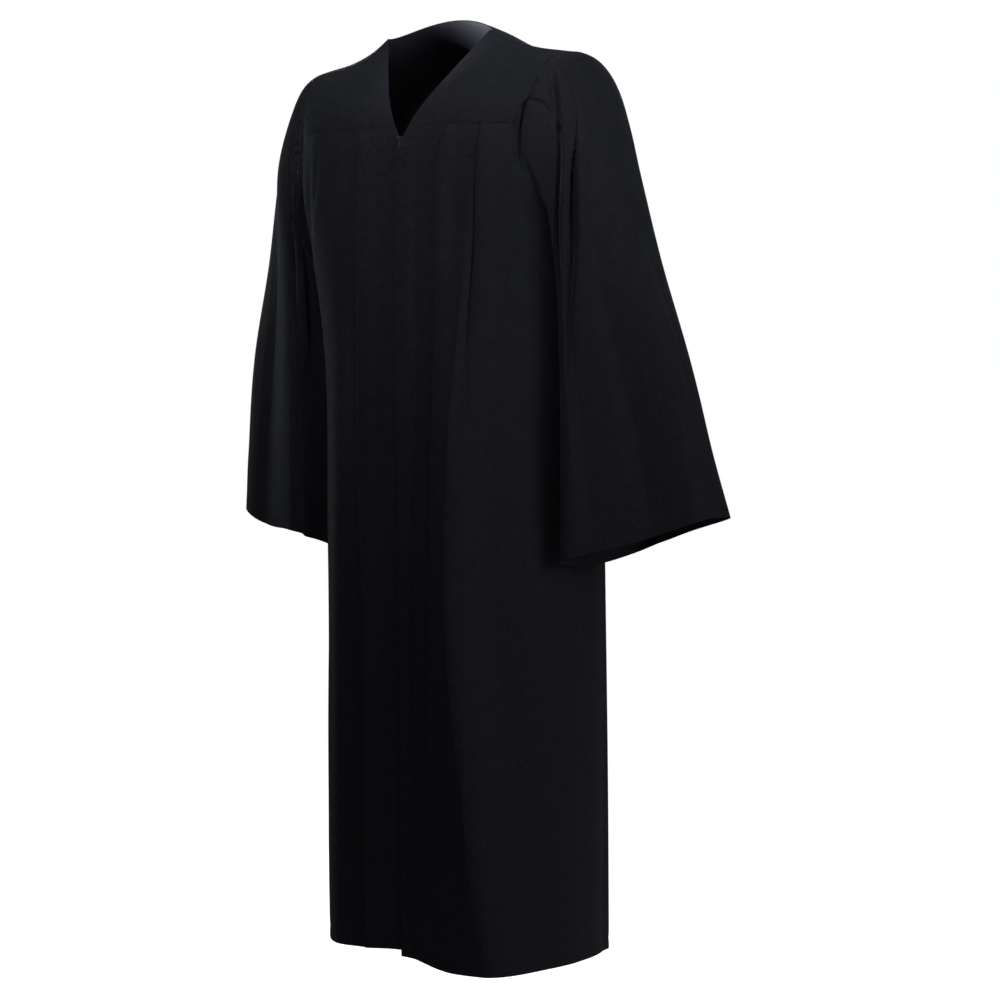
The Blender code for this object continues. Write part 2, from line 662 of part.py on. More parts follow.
def zip_pull(collection, helpers, finish):
    """The tab hangs from two eyes, one on each side of the slider's post."""
    crossbar_width = 2 * EYE_OFFSET + EYE_WIDTH
    prong_end = EYE_RADIUS + PRONG_LENGTH
    plate_height = PULL_LENGTH - prong_end
    crossbar_middle = (0, 0, JOIN_OVERLAP - prong_end)
    shapes = [
        (block, (PULL_WIDTH, PULL_THICKNESS, plate_height), (0, 0, -prong_end - plate_height / 2)),
        (block, (crossbar_width, PULL_THICKNESS, CROSSBAR_HEIGHT), crossbar_middle),
    ]
    cutters = []
    for side in (1, -1):
        across = side * EYE_OFFSET
        prong = (EYE_WIDTH, PULL_THICKNESS, prong_end - EYE_HOLE_RADIUS - JOIN_OVERLAP)
        prong_middle = -(prong_end + EYE_HOLE_RADIUS + JOIN_OVERLAP) / 2
        shapes.append((rod, EYE_RADIUS, EYE_WIDTH, (across, 0, 0)))
        shapes.append((block, prong, (across, 0, prong_middle)))
        cutters.append((rod, EYE_HOLE_RADIUS, EYE_WIDTH * 2, (across, 0, 0)))
    joined("zip_pull", shapes, cutters, collection, helpers, finish)


def main():
    for obj in list(bpy.data.objects):
        bpy.data.objects.remove(obj)
    gown = bpy.data.collections.new("graduation gown")
    bpy.context.scene.collection.children.link(gown)
    helpers = bpy.data.collections.new("cutters and joined shapes")
    bpy.context.scene.collection.children.link(helpers)
    black = material("gown cloth", CLOTH_BLACK, 0.85)
    tape_black = material("zip tape", TAPE_BLACK, 0.8)
    metal = material("zip metal", METAL_GREY, 0.35, 1.0)
    for side, word in ((1, "left"), (-1, "right")):
        cloth(f"front_{word}", [front_grid(side)], BODY_AXIS, gown, black)
        sleeve_axis = (side * SLEEVE_AXIS[0], SLEEVE_AXIS[1])
        cloth(f"sleeve_{word}", [sleeve_grid(side)], sleeve_axis, gown, black)
    cloth("yoke", [yoke_front_grid(1), yoke_front_grid(-1), yoke_back_grid()], BODY_AXIS, gown, black)
    cloth("back", [back_grid()], BODY_AXIS, gown, black)
    cloth("zip_tape", [tape_grid()], BODY_AXIS, gown, tape_black, wall=TAPE_WALL)
    zip_slider(gown, helpers, metal)
    zip_pull(gown, helpers, metal)


main()
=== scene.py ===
"""A long black graduation gown that keeps the form of its wearer, dressed over its solids: thin cloth with
pressed pleats and soft creases, sewing, a zip behind the lap and a plain studio. Metres, +Z up; the front
looks towards -Y and the wearer's left is +X."""

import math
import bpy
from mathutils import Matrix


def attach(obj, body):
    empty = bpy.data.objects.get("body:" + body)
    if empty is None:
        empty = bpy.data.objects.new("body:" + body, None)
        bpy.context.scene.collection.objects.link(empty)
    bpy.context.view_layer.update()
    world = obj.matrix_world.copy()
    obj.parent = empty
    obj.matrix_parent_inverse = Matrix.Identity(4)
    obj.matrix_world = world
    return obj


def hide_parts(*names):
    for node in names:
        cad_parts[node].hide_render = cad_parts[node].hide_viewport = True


bl_info = {
    "name": "Graduation Gown",
    "version": (1, 0, 0),
    "blender": (4, 5, 0),
    "location": "3D View > Sidebar > Gown",
    "description": "Cloth, sewing, zip and studio of a black graduation gown",
    "category": "Object",
}

from collections import namedtuple

import bmesh
import bpy
import numpy as np
from mathutils import Vector

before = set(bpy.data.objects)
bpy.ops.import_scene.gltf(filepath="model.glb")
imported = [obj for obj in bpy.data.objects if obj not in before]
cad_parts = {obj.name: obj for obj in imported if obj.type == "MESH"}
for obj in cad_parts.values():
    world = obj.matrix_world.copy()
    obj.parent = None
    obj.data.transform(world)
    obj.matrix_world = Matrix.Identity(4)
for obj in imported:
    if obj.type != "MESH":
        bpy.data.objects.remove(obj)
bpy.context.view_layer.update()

# Cut of the gown, as on its solids
GOWN_LENGTH = 1.2465
NECK_HALF_WIDTH = 0.083
NECK_POINT_FORWARD = -0.020
BACK_NECK_RISE = 0.0235
BACK_NECK_BEHIND = 0.022
V_DEPTH = 0.150
FRONT_YOKE_DROP = 0.131
BACK_YOKE_DROP = 0.135
UNDERARM_DROP = 0.290
YOKE_ROUND = (0.000, -0.020, 0.012)
YOKE_ROUND_AT_ARMHOLE = (0.002, -0.004, 0.004)
NECK_EDGE_REACH = 0.75
BACK_SHOULDER_SHARE = 0.6
BACK_SHOULDER_HEIGHT = (0.8, -0.012)

# The front opening: the wearer's left front laps over the right one, and a stitch line holds the lap
LAP_EDGE = -0.007
LAP_EDGE_AT_HEM = 0.000
LAP_STITCH = 0.018
LAP_STITCH_DIP = 0.0006
LAP_STITCH_REACH = 0.0016
LAP_HEIGHT = 0.0018
LAP_START_DROP = 0.155
UNDERLAP = 0.0035
UNDERLAP_SINK = 0.0017

# How far the hem rises at the front opening and at the side seam, by side
HEM_RISE = {1: (0.015, 0.003), -1: (0.023, 0.018)}
HEM_RISE_REACH = 0.09
SIDE_RISE_TURN = 1.1

# The yoke's front seam rises where it nears the armhole
SEAM_RISE = 0.027
SEAM_RISE_FROM = 0.70
SEAM_RISE_FADE = 0.055
SEAM_ALLOWANCE = 0.018
SEAM_SINK = 0.0011
SEAM_DIP = 0.0022
SEAM_FAINT = 0.07
SEAM_CLEAR_FROM = 0.105
SEAM_CLEAR_TO = 0.130
SEAM_HOLDS = 0.012
HEM_STITCH = 0.014
HEM_DIP = 0.0006
HEM_DIP_REACH = 0.004
SEAM_DIP_REACH = 0.006
SLEEVE_SEAM_DIP = 0.0016
SLEEVE_SEAM_DIP_SHARE = 0.012

BodyRow = namedtuple("BodyRow", "drop half_width front back squareness")
BODY = (
    BodyRow(0.120, 0.197, -0.1045, 0.152, 0.44),
    BodyRow(0.150, 0.198, -0.1085, 0.158, 0.43),
    BodyRow(0.200, 0.199, -0.1100, 0.166, 0.43),
    BodyRow(0.290, 0.196, -0.1120, 0.176, 0.60),
    BodyRow(0.400, 0.191, -0.1130, 0.184, 0.77),
    BodyRow(0.700, 0.188, -0.1110, 0.196, 0.80),
    BodyRow(1.000, 0.188, -0.1090, 0.200, 0.80),
    BodyRow(1.250, 0.188, -0.1080, 0.202, 0.80),
)

ArmholeRow = namedtuple("ArmholeRow", "drop front back")
ARMHOLE = (
    ArmholeRow(0.120, -0.0780, 0.1120),
    ArmholeRow(0.160, -0.0860, 0.1180),
    ArmholeRow(0.200, -0.0780, 0.1130),
    ArmholeRow(0.240, -0.0540, 0.0960),
    ArmholeRow(0.270, -0.0220, 0.0740),
    ArmholeRow(0.290, 0.0340, 0.0340),
)

NeckRow = namedtuple("NeckRow", "drop forward")
NECK_EDGE = (
    NeckRow(0.000, -0.0200),
    NeckRow(0.046, -0.0560),
    NeckRow(0.090, -0.0880),
    NeckRow(0.120, -0.1030),
    NeckRow(0.131, -0.1060),
)

ShoulderRow = namedtuple("ShoulderRow", "across forward height")
SHOULDER = (
    ShoulderRow(0.083, -0.020, 0.000),
    ShoulderRow(0.112, -0.012, -0.014),
    ShoulderRow(0.147, -0.004, -0.025),
    ShoulderRow(0.188, 0.004, -0.032),
)

# Pressed pleats: where the folded edge lies, how far the outer layer stands out, how deep the cloth is tucked
# behind the edge and how far the swell beside it reaches
PleatRow = namedtuple("PleatRow", "drop across height tuck outer")
LEFT_INNER_PLEAT = (
    PleatRow(0.131, 0.0715, 0.0030, 0.0050, 0.024),
    PleatRow(0.146, 0.0665, 0.0036, 0.0060, 0.026),
    PleatRow(0.163, 0.0610, 0.0038, 0.0060, 0.030),
    PleatRow(0.180, 0.0585, 0.0040, 0.0060, 0.032),
    PleatRow(0.270, 0.0580, 0.0040, 0.0060, 0.034),
    PleatRow(0.490, 0.0550, 0.0034, 0.0050, 0.030),
    PleatRow(0.750, 0.0510, 0.0026, 0.0035, 0.024),
    PleatRow(0.950, 0.0480, 0.0008, 0.0010, 0.020),
    PleatRow(1.250, 0.0460, 0.0002, 0.0000, 0.020),
)
LEFT_OUTER_PLEAT = (
    PleatRow(0.131, 0.1235, 0.0036, 0.0060, 0.030),
    PleatRow(0.166, 0.1205, 0.0042, 0.0070, 0.034),
    PleatRow(0.269, 0.1155, 0.0044, 0.0060, 0.036),
    PleatRow(0.333, 0.1100, 0.0034, 0.0040, 0.036),
    PleatRow(0.397, 0.1030, 0.0016, 0.0010, 0.036),
    PleatRow(0.560, 0.1000, 0.0000, 0.0000, 0.036),
    PleatRow(1.250, 0.1000, 0.0000, 0.0000, 0.036),
)
RIGHT_PLEAT_LINE = (
    PleatRow(0.131, 0.0700, 0.0020, 0.0050, 0.040),
    PleatRow(0.177, 0.0700, 0.0026, 0.0060, 0.045),
    PleatRow(0.355, 0.0700, 0.0030, 0.0060, 0.045),
    PleatRow(0.650, 0.0690, 0.0034, 0.0055, 0.045),
    PleatRow(0.740, 0.0650, 0.0036, 0.0050, 0.045),
    PleatRow(0.900, 0.0630, 0.0036, 0.0045, 0.045),
    PleatRow(1.250, 0.0620, 0.0034, 0.0035, 0.045),
)
PLEATS = {1: (LEFT_INNER_PLEAT, LEFT_OUTER_PLEAT), -1: (RIGHT_PLEAT_LINE,)}
PLEAT_HALF_WIDTH = 0.0040
PLEAT_FLAT_BELOW = 0.0012

# The way of the cloth through a pleat: shares of the half width, the tuck and the height
ProfileRow = namedtuple("ProfileRow", "place half tuck height")
PLEAT_PROFILE = (
    ProfileRow(0.00, -1.00, 0.00, 0.00),
    ProfileRow(0.14, -0.66, 0.00, -0.06),
    ProfileRow(0.24, -0.38, 0.00, -0.42),
    ProfileRow(0.34, 0.05, 0.80, -0.60),
    ProfileRow(0.43, 0.10, 1.05, -0.45),
    ProfileRow(0.50, 0.05, 0.80, -0.16),
    ProfileRow(0.68, 0.00, 0.08, 0.00),
    ProfileRow(0.78, -0.10, 0.00, 0.40),
    ProfileRow(0.87, 0.16, 0.00, 0.86),
    ProfileRow(1.00, 1.00, 0.00, 1.00),
)

# Swells of the body that run from the yoke to the hem. The wearer's left front has one with a sharp crest,
# which rises from the lap, and beside the crest's upper part runs a valley
FoldRow = namedtuple("FoldRow", "drop across height inner outer")
LEFT_FLUTE = (
    FoldRow(0.120, 0.102, 0.0000, 0.040, 0.050),
    FoldRow(0.300, 0.098, 0.0030, 0.044, 0.050),
    FoldRow(0.400, 0.0925, 0.0105, 0.050, 0.050),
    FoldRow(0.528, 0.0811, 0.0190, 0.054, 0.050),
    FoldRow(0.648, 0.0765, 0.0225, 0.058, 0.054),
    FoldRow(0.752, 0.0755, 0.0255, 0.060, 0.058),
    FoldRow(0.883, 0.0834, 0.0285, 0.068, 0.062),
    FoldRow(1.014, 0.0963, 0.0310, 0.080, 0.066),
    FoldRow(1.104, 0.1040, 0.0330, 0.088, 0.068),
    FoldRow(1.250, 0.1225, 0.0350, 0.104, 0.064),
)
RIGHT_FLUTE = (
    FoldRow(0.120, 0.118, 0.0000, 0.030, 0.040),
    FoldRow(0.400, 0.116, 0.0010, 0.030, 0.040),
    FoldRow(0.700, 0.112, 0.0050, 0.032, 0.046),
    FoldRow(1.250, 0.110, 0.0090, 0.036, 0.056),
)
# The crest is round over this share of its inner width, and its slope is hollow where the power is below 1
CREST_ROUND = 0.03
CREST_HOLLOW = 0.8
ValleyRow = namedtuple("ValleyRow", "drop across depth inner outer")
LEFT_VALLEY = (
    ValleyRow(0.200, 0.1180, 0.0000, 0.006, 0.012),
    ValleyRow(0.270, 0.1150, 0.0024, 0.006, 0.014),
    ValleyRow(0.333, 0.1085, 0.0042, 0.008, 0.018),
    ValleyRow(0.397, 0.1015, 0.0056, 0.010, 0.021),
    ValleyRow(0.436, 0.0965, 0.0060, 0.011, 0.023),
    ValleyRow(0.476, 0.0930, 0.0052, 0.011, 0.024),
    ValleyRow(0.528, 0.0895, 0.0030, 0.011, 0.024),
    ValleyRow(0.600, 0.0870, 0.0000, 0.011, 0.024),
)

# Soft creases: middle across at the top, top and bottom drop, lean of the bottom, depth (a ridge where it is
# below 0) and half width
Crease = namedtuple("Crease", "across top bottom lean depth width")
FRONT_CREASES = {
    1: (
        Crease(0.158, 0.116, 0.204, 0.022, 0.0030, 0.0022),
        Crease(0.181, 0.104, 0.200, -0.006, 0.0150, 0.0052),
        Crease(0.176, 0.170, 0.330, 0.006, 0.0040, 0.0070),
        Crease(0.030, 0.170, 0.560, -0.006, 0.0010, 0.0110),
        Crease(0.138, 0.200, 0.640, 0.006, 0.0016, 0.0150),
        Crease(0.150, 0.520, 1.020, -0.008, 0.0020, 0.0180),
        Crease(0.020, 0.520, 1.160, 0.006, 0.0016, 0.0140),
        Crease(0.165, 0.780, 1.230, 0.004, -0.0018, 0.0160),
        Crease(0.075, 0.900, 1.240, 0.016, 0.0014, 0.0140),
        Crease(0.092, 0.150, 0.330, -0.012, 0.0010, 0.0100),
    ),
    -1: (
        Crease(0.118, 0.134, 0.176, 0.010, 0.0016, 0.0036),
        Crease(0.140, 0.140, 0.240, 0.012, 0.0020, 0.0050),
        Crease(0.158, 0.150, 0.300, 0.012, 0.0026, 0.0080),
        Crease(0.036, 0.190, 0.640, 0.004, 0.0012, 0.0120),
        Crease(0.104, 0.260, 0.760, -0.006, 0.0018, 0.0130),
        Crease(0.030, 0.620, 1.200, 0.000, 0.0020, 0.0140),
        Crease(0.135, 0.560, 1.100, 0.006, 0.0020, 0.0160),
        Crease(0.155, 0.840, 1.230, -0.004, -0.0018, 0.0150),
    ),
}

BACK_FLUTES = 9
BACK_FLUTE_TOP = 0.0060
BACK_FLUTE_HEM = 0.0190

# Creases of the back, where across is the turn round the body from its middle, in radians
BACK_CREASES = (
    Crease(-1.05, 0.150, 0.330, 0.06, 0.0026, 0.050),
    Crease(-0.86, 0.160, 0.520, 0.05, 0.0018, 0.060),
    Crease(-0.34, 0.170, 0.760, 0.04, 0.0022, 0.055),
    Crease(0.18, 0.200, 0.900, -0.05, 0.0020, 0.060),
    Crease(0.62, 0.160, 0.600, -0.04, 0.0024, 0.055),
    Crease(1.02, 0.150, 0.360, -0.08, 0.0028, 0.050),
    Crease(-0.60, 0.640, 1.220, -0.03, 0.0020, 0.060),
    Crease(0.40, 0.700, 1.230, 0.05, 0.0018, 0.055),
)

# Lines that run down the sleeve, from the armhole at 0 to the cuff at 1
LineRow = namedtuple("LineRow", "share across forward height")
SLEEVE_OUTER_FRONT = (
    LineRow(0.00, 0.188, -0.022, -0.042),
    LineRow(0.06, 0.211, -0.010, -0.045),
    LineRow(0.13, 0.229, -0.002, -0.074),
    LineRow(0.21, 0.250, -0.006, -0.121),
    LineRow(0.32, 0.277, -0.004, -0.190),
    LineRow(0.48, 0.307, 0.006, -0.300),
    LineRow(0.66, 0.347, 0.023, -0.428),
    LineRow(0.86, 0.373, 0.036, -0.563),
    LineRow(1.00, 0.384, 0.044, -0.644),
)
SLEEVE_OUTER_BACK = (
    LineRow(0.00, 0.188, 0.032, -0.042),
    LineRow(0.06, 0.213, 0.034, -0.046),
    LineRow(0.13, 0.235, 0.035, -0.072),
    LineRow(0.21, 0.256, 0.033, -0.120),
    LineRow(0.32, 0.277, 0.036, -0.190),
    LineRow(0.48, 0.306, 0.042, -0.300),
    LineRow(0.66, 0.345, 0.051, -0.428),
    LineRow(0.86, 0.370, 0.074, -0.563),
    LineRow(1.00, 0.385, 0.094, -0.645),
)
SLEEVE_FRONT_FACE = (
    LineRow(0.00, 0.187, -0.058, -0.088),
    LineRow(0.08, 0.210, -0.058, -0.105),
    LineRow(0.20, 0.236, -0.062, -0.165),
    LineRow(0.40, 0.252, -0.048, -0.285),
    LineRow(0.60, 0.272, -0.030, -0.404),
    LineRow(0.80, 0.290, -0.014, -0.543),
    LineRow(1.00, 0.305, 0.000, -0.673),
)
SLEEVE_FRONT = (
    LineRow(0.00, 0.186, -0.086, -0.160),
    LineRow(0.12, 0.203, -0.078, -0.215),
    LineRow(0.28, 0.207, -0.060, -0.300),
    LineRow(0.50, 0.211, -0.053, -0.419),
    LineRow(0.75, 0.212, -0.050, -0.568),
    LineRow(1.00, 0.208, -0.044, -0.703),
)
SLEEVE_UNDER = (
    LineRow(0.00, 0.196, 0.034, -0.290),
    LineRow(0.12, 0.206, 0.034, -0.318),
    LineRow(0.28, 0.208, 0.034, -0.375),
    LineRow(0.50, 0.209, 0.034, -0.469),
    LineRow(0.75, 0.210, 0.034, -0.588),
    LineRow(1.00, 0.212, 0.034, -0.709),
)
SLEEVE_BACK = (
    LineRow(0.00, 0.190, 0.118, -0.160),
    LineRow(0.12, 0.213, 0.122, -0.215),
    LineRow(0.28, 0.221, 0.124, -0.300),
    LineRow(0.50, 0.226, 0.122, -0.424),
    LineRow(0.75, 0.228, 0.118, -0.570),
    LineRow(1.00, 0.226, 0.112, -0.698),
)
SLEEVE_BACK_FACE = (
    LineRow(0.00, 0.188, 0.080, -0.078),
    LineRow(0.08, 0.216, 0.082, -0.098),
    LineRow(0.20, 0.240, 0.086, -0.165),
    LineRow(0.40, 0.262, 0.090, -0.285),
    LineRow(0.60, 0.288, 0.096, -0.409),
    LineRow(0.80, 0.306, 0.100, -0.539),
    LineRow(1.00, 0.320, 0.102, -0.665),
)
SLEEVE_LINES = (
    SLEEVE_OUTER_FRONT,
    SLEEVE_FRONT_FACE,
    SLEEVE_FRONT,
    SLEEVE_UNDER,
    SLEEVE_BACK,
    SLEEVE_BACK_FACE,
    SLEEVE_OUTER_BACK,
)
RIGHT_CUFF_LIFT = 0.024
RIGHT_CUFF_LIFT_REACH = 0.15

# Folds of the sleeve heads: the share of the sleeve's length, the place round it (0 on the shoulder, growing
# through the front), how deep the trough is (a ridge where it is below 0) and its half width round the sleeve
TroughRow = namedtuple("TroughRow", "share around depth width")
HEAD_VALLEY = (
    TroughRow(0.015, 0.090, 0.0000, 0.006),
    TroughRow(0.055, 0.106, 0.0090, 0.009),
    TroughRow(0.105, 0.133, 0.0120, 0.010),
    TroughRow(0.155, 0.175, 0.0135, 0.013),
    TroughRow(0.200, 0.216, 0.0165, 0.019),
    TroughRow(0.285, 0.290, 0.0165, 0.025),
    TroughRow(0.450, 0.312, 0.0090, 0.028),
    TroughRow(0.640, 0.330, 0.0000, 0.028),
)
HEAD_SECOND = (
    TroughRow(0.120, 0.080, 0.0000, 0.009),
    TroughRow(0.205, 0.118, 0.0085, 0.012),
    TroughRow(0.230, 0.148, 0.0145, 0.014),
    TroughRow(0.285, 0.184, 0.0187, 0.016),
    TroughRow(0.370, 0.216, 0.0179, 0.018),
    TroughRow(0.435, 0.246, 0.0136, 0.019),
    TroughRow(0.510, 0.280, 0.0076, 0.021),
    TroughRow(0.640, 0.300, 0.0000, 0.021),
)
HEAD_RIDGE = (
    TroughRow(0.060, 0.120, 0.0000, 0.012),
    TroughRow(0.190, 0.170, -0.0044, 0.014),
    TroughRow(0.255, 0.206, -0.0060, 0.016),
    TroughRow(0.345, 0.242, -0.0057, 0.018),
    TroughRow(0.435, 0.272, -0.0031, 0.018),
    TroughRow(0.560, 0.290, 0.0000, 0.018),
)
HEAD_SHORT = (
    TroughRow(0.010, 0.100, 0.0000, 0.006),
    TroughRow(0.035, 0.116, 0.0038, 0.007),
    TroughRow(0.070, 0.133, 0.0044, 0.008),
    TroughRow(0.095, 0.150, 0.0026, 0.009),
    TroughRow(0.130, 0.180, 0.0000, 0.010),
)
HEAD_PUFF = (
    TroughRow(0.000, 0.112, -0.0005, 0.012),
    TroughRow(0.022, 0.120, -0.0028, 0.012),
    TroughRow(0.050, 0.128, -0.0016, 0.010),
    TroughRow(0.080, 0.140, 0.0000, 0.010),
)
OUTER_HOLLOW = (
    TroughRow(0.180, 0.020, 0.0000, 0.040),
    TroughRow(0.340, 0.025, 0.0030, 0.044),
    TroughRow(0.620, 0.010, 0.0051, 0.040),
    TroughRow(0.860, 0.050, 0.0060, 0.037),
    TroughRow(1.000, 0.055, 0.0045, 0.037),
)
FRONT_LONG = (
    TroughRow(0.380, 0.230, 0.0000, 0.040),
    TroughRow(0.560, 0.262, 0.0040, 0.040),
    TroughRow(0.800, 0.286, 0.0040, 0.040),
    TroughRow(1.000, 0.300, 0.0024, 0.040),
)
MIDDLE_LONG = (
    TroughRow(0.240, 0.110, 0.0000, 0.046),
    TroughRow(0.460, 0.150, 0.0030, 0.046),
    TroughRow(0.800, 0.170, 0.0034, 0.050),
    TroughRow(1.000, 0.180, 0.0024, 0.050),
)
BACK_VALLEY = (
    TroughRow(0.030, 0.905, 0.0000, 0.011),
    TroughRow(0.090, 0.880, 0.0090, 0.014),
    TroughRow(0.190, 0.820, 0.0135, 0.019),
    TroughRow(0.330, 0.760, 0.0120, 0.025),
    TroughRow(0.560, 0.730, 0.0000, 0.028),
)
BACK_SECOND = (
    TroughRow(0.120, 0.930, 0.0000, 0.013),
    TroughRow(0.220, 0.885, 0.0105, 0.017),
    TroughRow(0.350, 0.830, 0.0128, 0.019),
    TroughRow(0.480, 0.790, 0.0075, 0.023),
    TroughRow(0.640, 0.770, 0.0000, 0.023),
)
BACK_LONG = (
    TroughRow(0.340, 0.800, 0.0000, 0.040),
    TroughRow(0.620, 0.770, 0.0040, 0.044),
    TroughRow(1.000, 0.750, 0.0030, 0.044),
)
RIGHT_VALLEY = (
    TroughRow(0.020, 0.120, 0.0000, 0.008),
    TroughRow(0.060, 0.165, 0.0063, 0.012),
    TroughRow(0.100, 0.240, 0.0094, 0.018),
    TroughRow(0.190, 0.345, 0.0150, 0.026),
    TroughRow(0.305, 0.372, 0.0163, 0.034),
    TroughRow(0.420, 0.395, 0.0112, 0.040),
    TroughRow(0.600, 0.400, 0.0000, 0.040),
)
RIGHT_SECOND = (
    TroughRow(0.080, 0.190, 0.0000, 0.013),
    TroughRow(0.205, 0.262, 0.0105, 0.017),
    TroughRow(0.305, 0.268, 0.0120, 0.021),
    TroughRow(0.400, 0.288, 0.0083, 0.025),
    TroughRow(0.580, 0.310, 0.0000, 0.028),
)
RIGHT_SHORT = (
    TroughRow(0.020, 0.150, 0.0000, 0.008),
    TroughRow(0.055, 0.200, 0.0063, 0.010),
    TroughRow(0.090, 0.290, 0.0070, 0.014),
    TroughRow(0.150, 0.380, 0.0000, 0.018),
)
RIGHT_LONG = (
    TroughRow(0.300, 0.330, 0.0000, 0.050),
    TroughRow(0.560, 0.345, 0.0070, 0.056),
    TroughRow(0.820, 0.360, 0.0090, 0.056),
    TroughRow(1.000, 0.370, 0.0070, 0.056),
)
# Walls of a fold as shares of its half width: the one on the wearer's left of it is broad, the other steep
BROAD_WALL = 1.9
STEEP_WALL = 0.8
SLEEVE_WALL_POWER = 1.15
SLEEVE_TROUGHS = {
    1: (HEAD_VALLEY, HEAD_SECOND, HEAD_RIDGE, HEAD_SHORT, HEAD_PUFF, OUTER_HOLLOW, FRONT_LONG, MIDDLE_LONG,
        BACK_VALLEY, BACK_SECOND, BACK_LONG),
    -1: (RIGHT_VALLEY, RIGHT_SECOND, RIGHT_SHORT, RIGHT_LONG, MIDDLE_LONG, OUTER_HOLLOW,
         BACK_VALLEY, BACK_SECOND, BACK_LONG),
}

# How finely each shell is built
YOKE_ROWS = 46
SHOULDER_COLUMNS = 46
NECK_COLUMNS = 24
PANEL_UPPER_ROWS = 56
PANEL_LOWER_ROWS = 130
BLOCK_COLUMNS = 20
PLEAT_COLUMNS = 25
FRONT_LIMIT = 0.146
SIDE_COLUMNS = 56
BACK_COLUMNS = 220
SLEEVE_ROWS = 120
SLEEVE_COLUMNS = 250
SLEEVE_ROW_SPREAD = 1.15
# The columns from the opening to just past the first pleat, among which a line down the panel is looked up
INNER_COLUMNS = 50

# Sewing and zip
THREAD_LIFT = 0.0001
HEM_STITCH_ROW = 3
STITCH_SHARE = 0.38
NECK_BINDING = 0.0006
TAPE_TOP = 0.156
TAPE_LENGTH = 0.660
TAPE_INNER = 0.0020
TAPE_OUTER = 0.0165
TAPE_DEPTH = 0.0026
TEETH_TOP = 0.158
TOOTH_STEP = 0.0025
TEETH_DEPTH = 0.0021
TEETH_FROM_MIDDLE = 0.0011
TOOTH_SIZE = (0.0028, 0.0012, 0.0013)
TAPE_THICKNESS = 0.0005

BODY_AXIS = (0.0, 0.04)
SLEEVE_AXIS = (0.27, 0.03)
HOLLOW_TOP = -0.12
WELD = 1e-6
EDGE_ANGLE = math.radians(78)

# The photograph's camera: how far round to the wearer's left it stands, its distance, height and focal length
CAMERA_TURN = math.radians(34)
CAMERA_DISTANCE = 3.6
CAMERA_HEIGHT = -0.4905
FOCAL_PIXELS = 2650
FRAME_PIXELS = 1000
ORIGIN_COLUMN = 447
EYE_LINE_ROW = 400
SENSOR_MM = 36
FLOOR_DROP = 1.46


def along(rows, places):
    """The rows' other columns at these places, on a smooth curve through all the rows."""
    table = np.array([tuple(row) for row in rows], float)
    knots, values = table[:, 0], table[:, 1:]
    places = np.clip(np.asarray(places, float), knots[0], knots[-1])
    slopes = np.gradient(values, knots, axis=0)
    before = np.clip(np.searchsorted(knots, places, side="right") - 1, 0, len(knots) - 2)
    width = (knots[before + 1] - knots[before])[..., None]
    t = (places[..., None] - knots[before][..., None]) / width
    start, end = values[before], values[before + 1]
    leave, arrive = slopes[before] * width, slopes[before + 1] * width
    return (
        start * (2 * t**3 - 3 * t**2 + 1)
        + leave * (t**3 - 2 * t**2 + t)
        + end * (3 * t**2 - 2 * t**3)
        + arrive * (t**3 - t**2)
    )


def columns_of(rows, places):
    """along() with each column on its own."""
    return np.moveaxis(along(rows, places), -1, 0)


def smooth(low, high, value):
    """0 below low, 1 above high, and a soft step between."""
    t = np.clip((value - low) / (high - low), 0.0, 1.0)
    return t * t * (3.0 - 2.0 * t)


def power(value, exponent):
    return np.sign(value) * np.abs(value) ** exponent


def body_point(turn, drop):
    """A point of the body without folds: turn 0 is the front, a quarter turn the wearer's left side."""
    half_width, front, back, squareness = columns_of(BODY, drop)
    middle, half_depth = (front + back) / 2, (back - front) / 2
    x = half_width * power(np.sin(turn), squareness)
    y = middle - half_depth * power(np.cos(turn), squareness)
    return np.stack(np.broadcast_arrays(x, y, -drop), axis=-1)


def turn_across(across, drop):
    """The turn at which the front of the body is so far across from its middle."""
    half_width, _, _, squareness = columns_of(BODY, drop)
    return np.arcsin(power(np.clip(across / half_width, -1, 1), 1 / squareness))


def side_turn(drop, behind):
    """The turn of the armhole's edge, or of the side seam under it, on the front or the back."""
    level = np.minimum(drop, UNDERARM_DROP)
    forward = along(ARMHOLE, drop)[..., 1 if behind else 0]
    _, front, back, squareness = columns_of(BODY, level)
    middle, half_depth = (front + back) / 2, (back - front) / 2
    return np.arccos(power(np.clip((middle - forward) / half_depth, -1, 1), 1 / squareness))


def outward(turn, drop):
    """The direction that faces out of the body, level with the ground."""
    step = 1e-4
    ahead = body_point(turn + step, drop) - body_point(turn - step, drop)
    normal = np.stack([ahead[..., 1], -ahead[..., 0], 0 * ahead[..., 0]], axis=-1)
    return normal / np.maximum(np.linalg.norm(normal, axis=-1, keepdims=True), 1e-12)


def fold_height(rows, across, drop):
    """How far a soft swell stands out here."""
    middle, height, inner, outer = columns_of(rows, drop)
    reach = np.where(across < middle, (middle - across) / inner, (across - middle) / outer)
    return height * (1 - smooth(0.0, 1.0, reach))


def crest_height(rows, across, drop):
    """How far a swell stands out that rises in a straight slope from the middle to a sharp crest."""
    middle, height, inner, outer = columns_of(rows, drop)
    reach = np.clip((middle - across) / inner, 0, 1)
    slope = (np.hypot(reach, CREST_ROUND) - CREST_ROUND) / (math.hypot(1, CREST_ROUND) - CREST_ROUND)
    slope = slope**CREST_HOLLOW
    return height * np.where(across < middle, 1 - slope, 1 - smooth(0.0, 1.0, (across - middle) / outer))


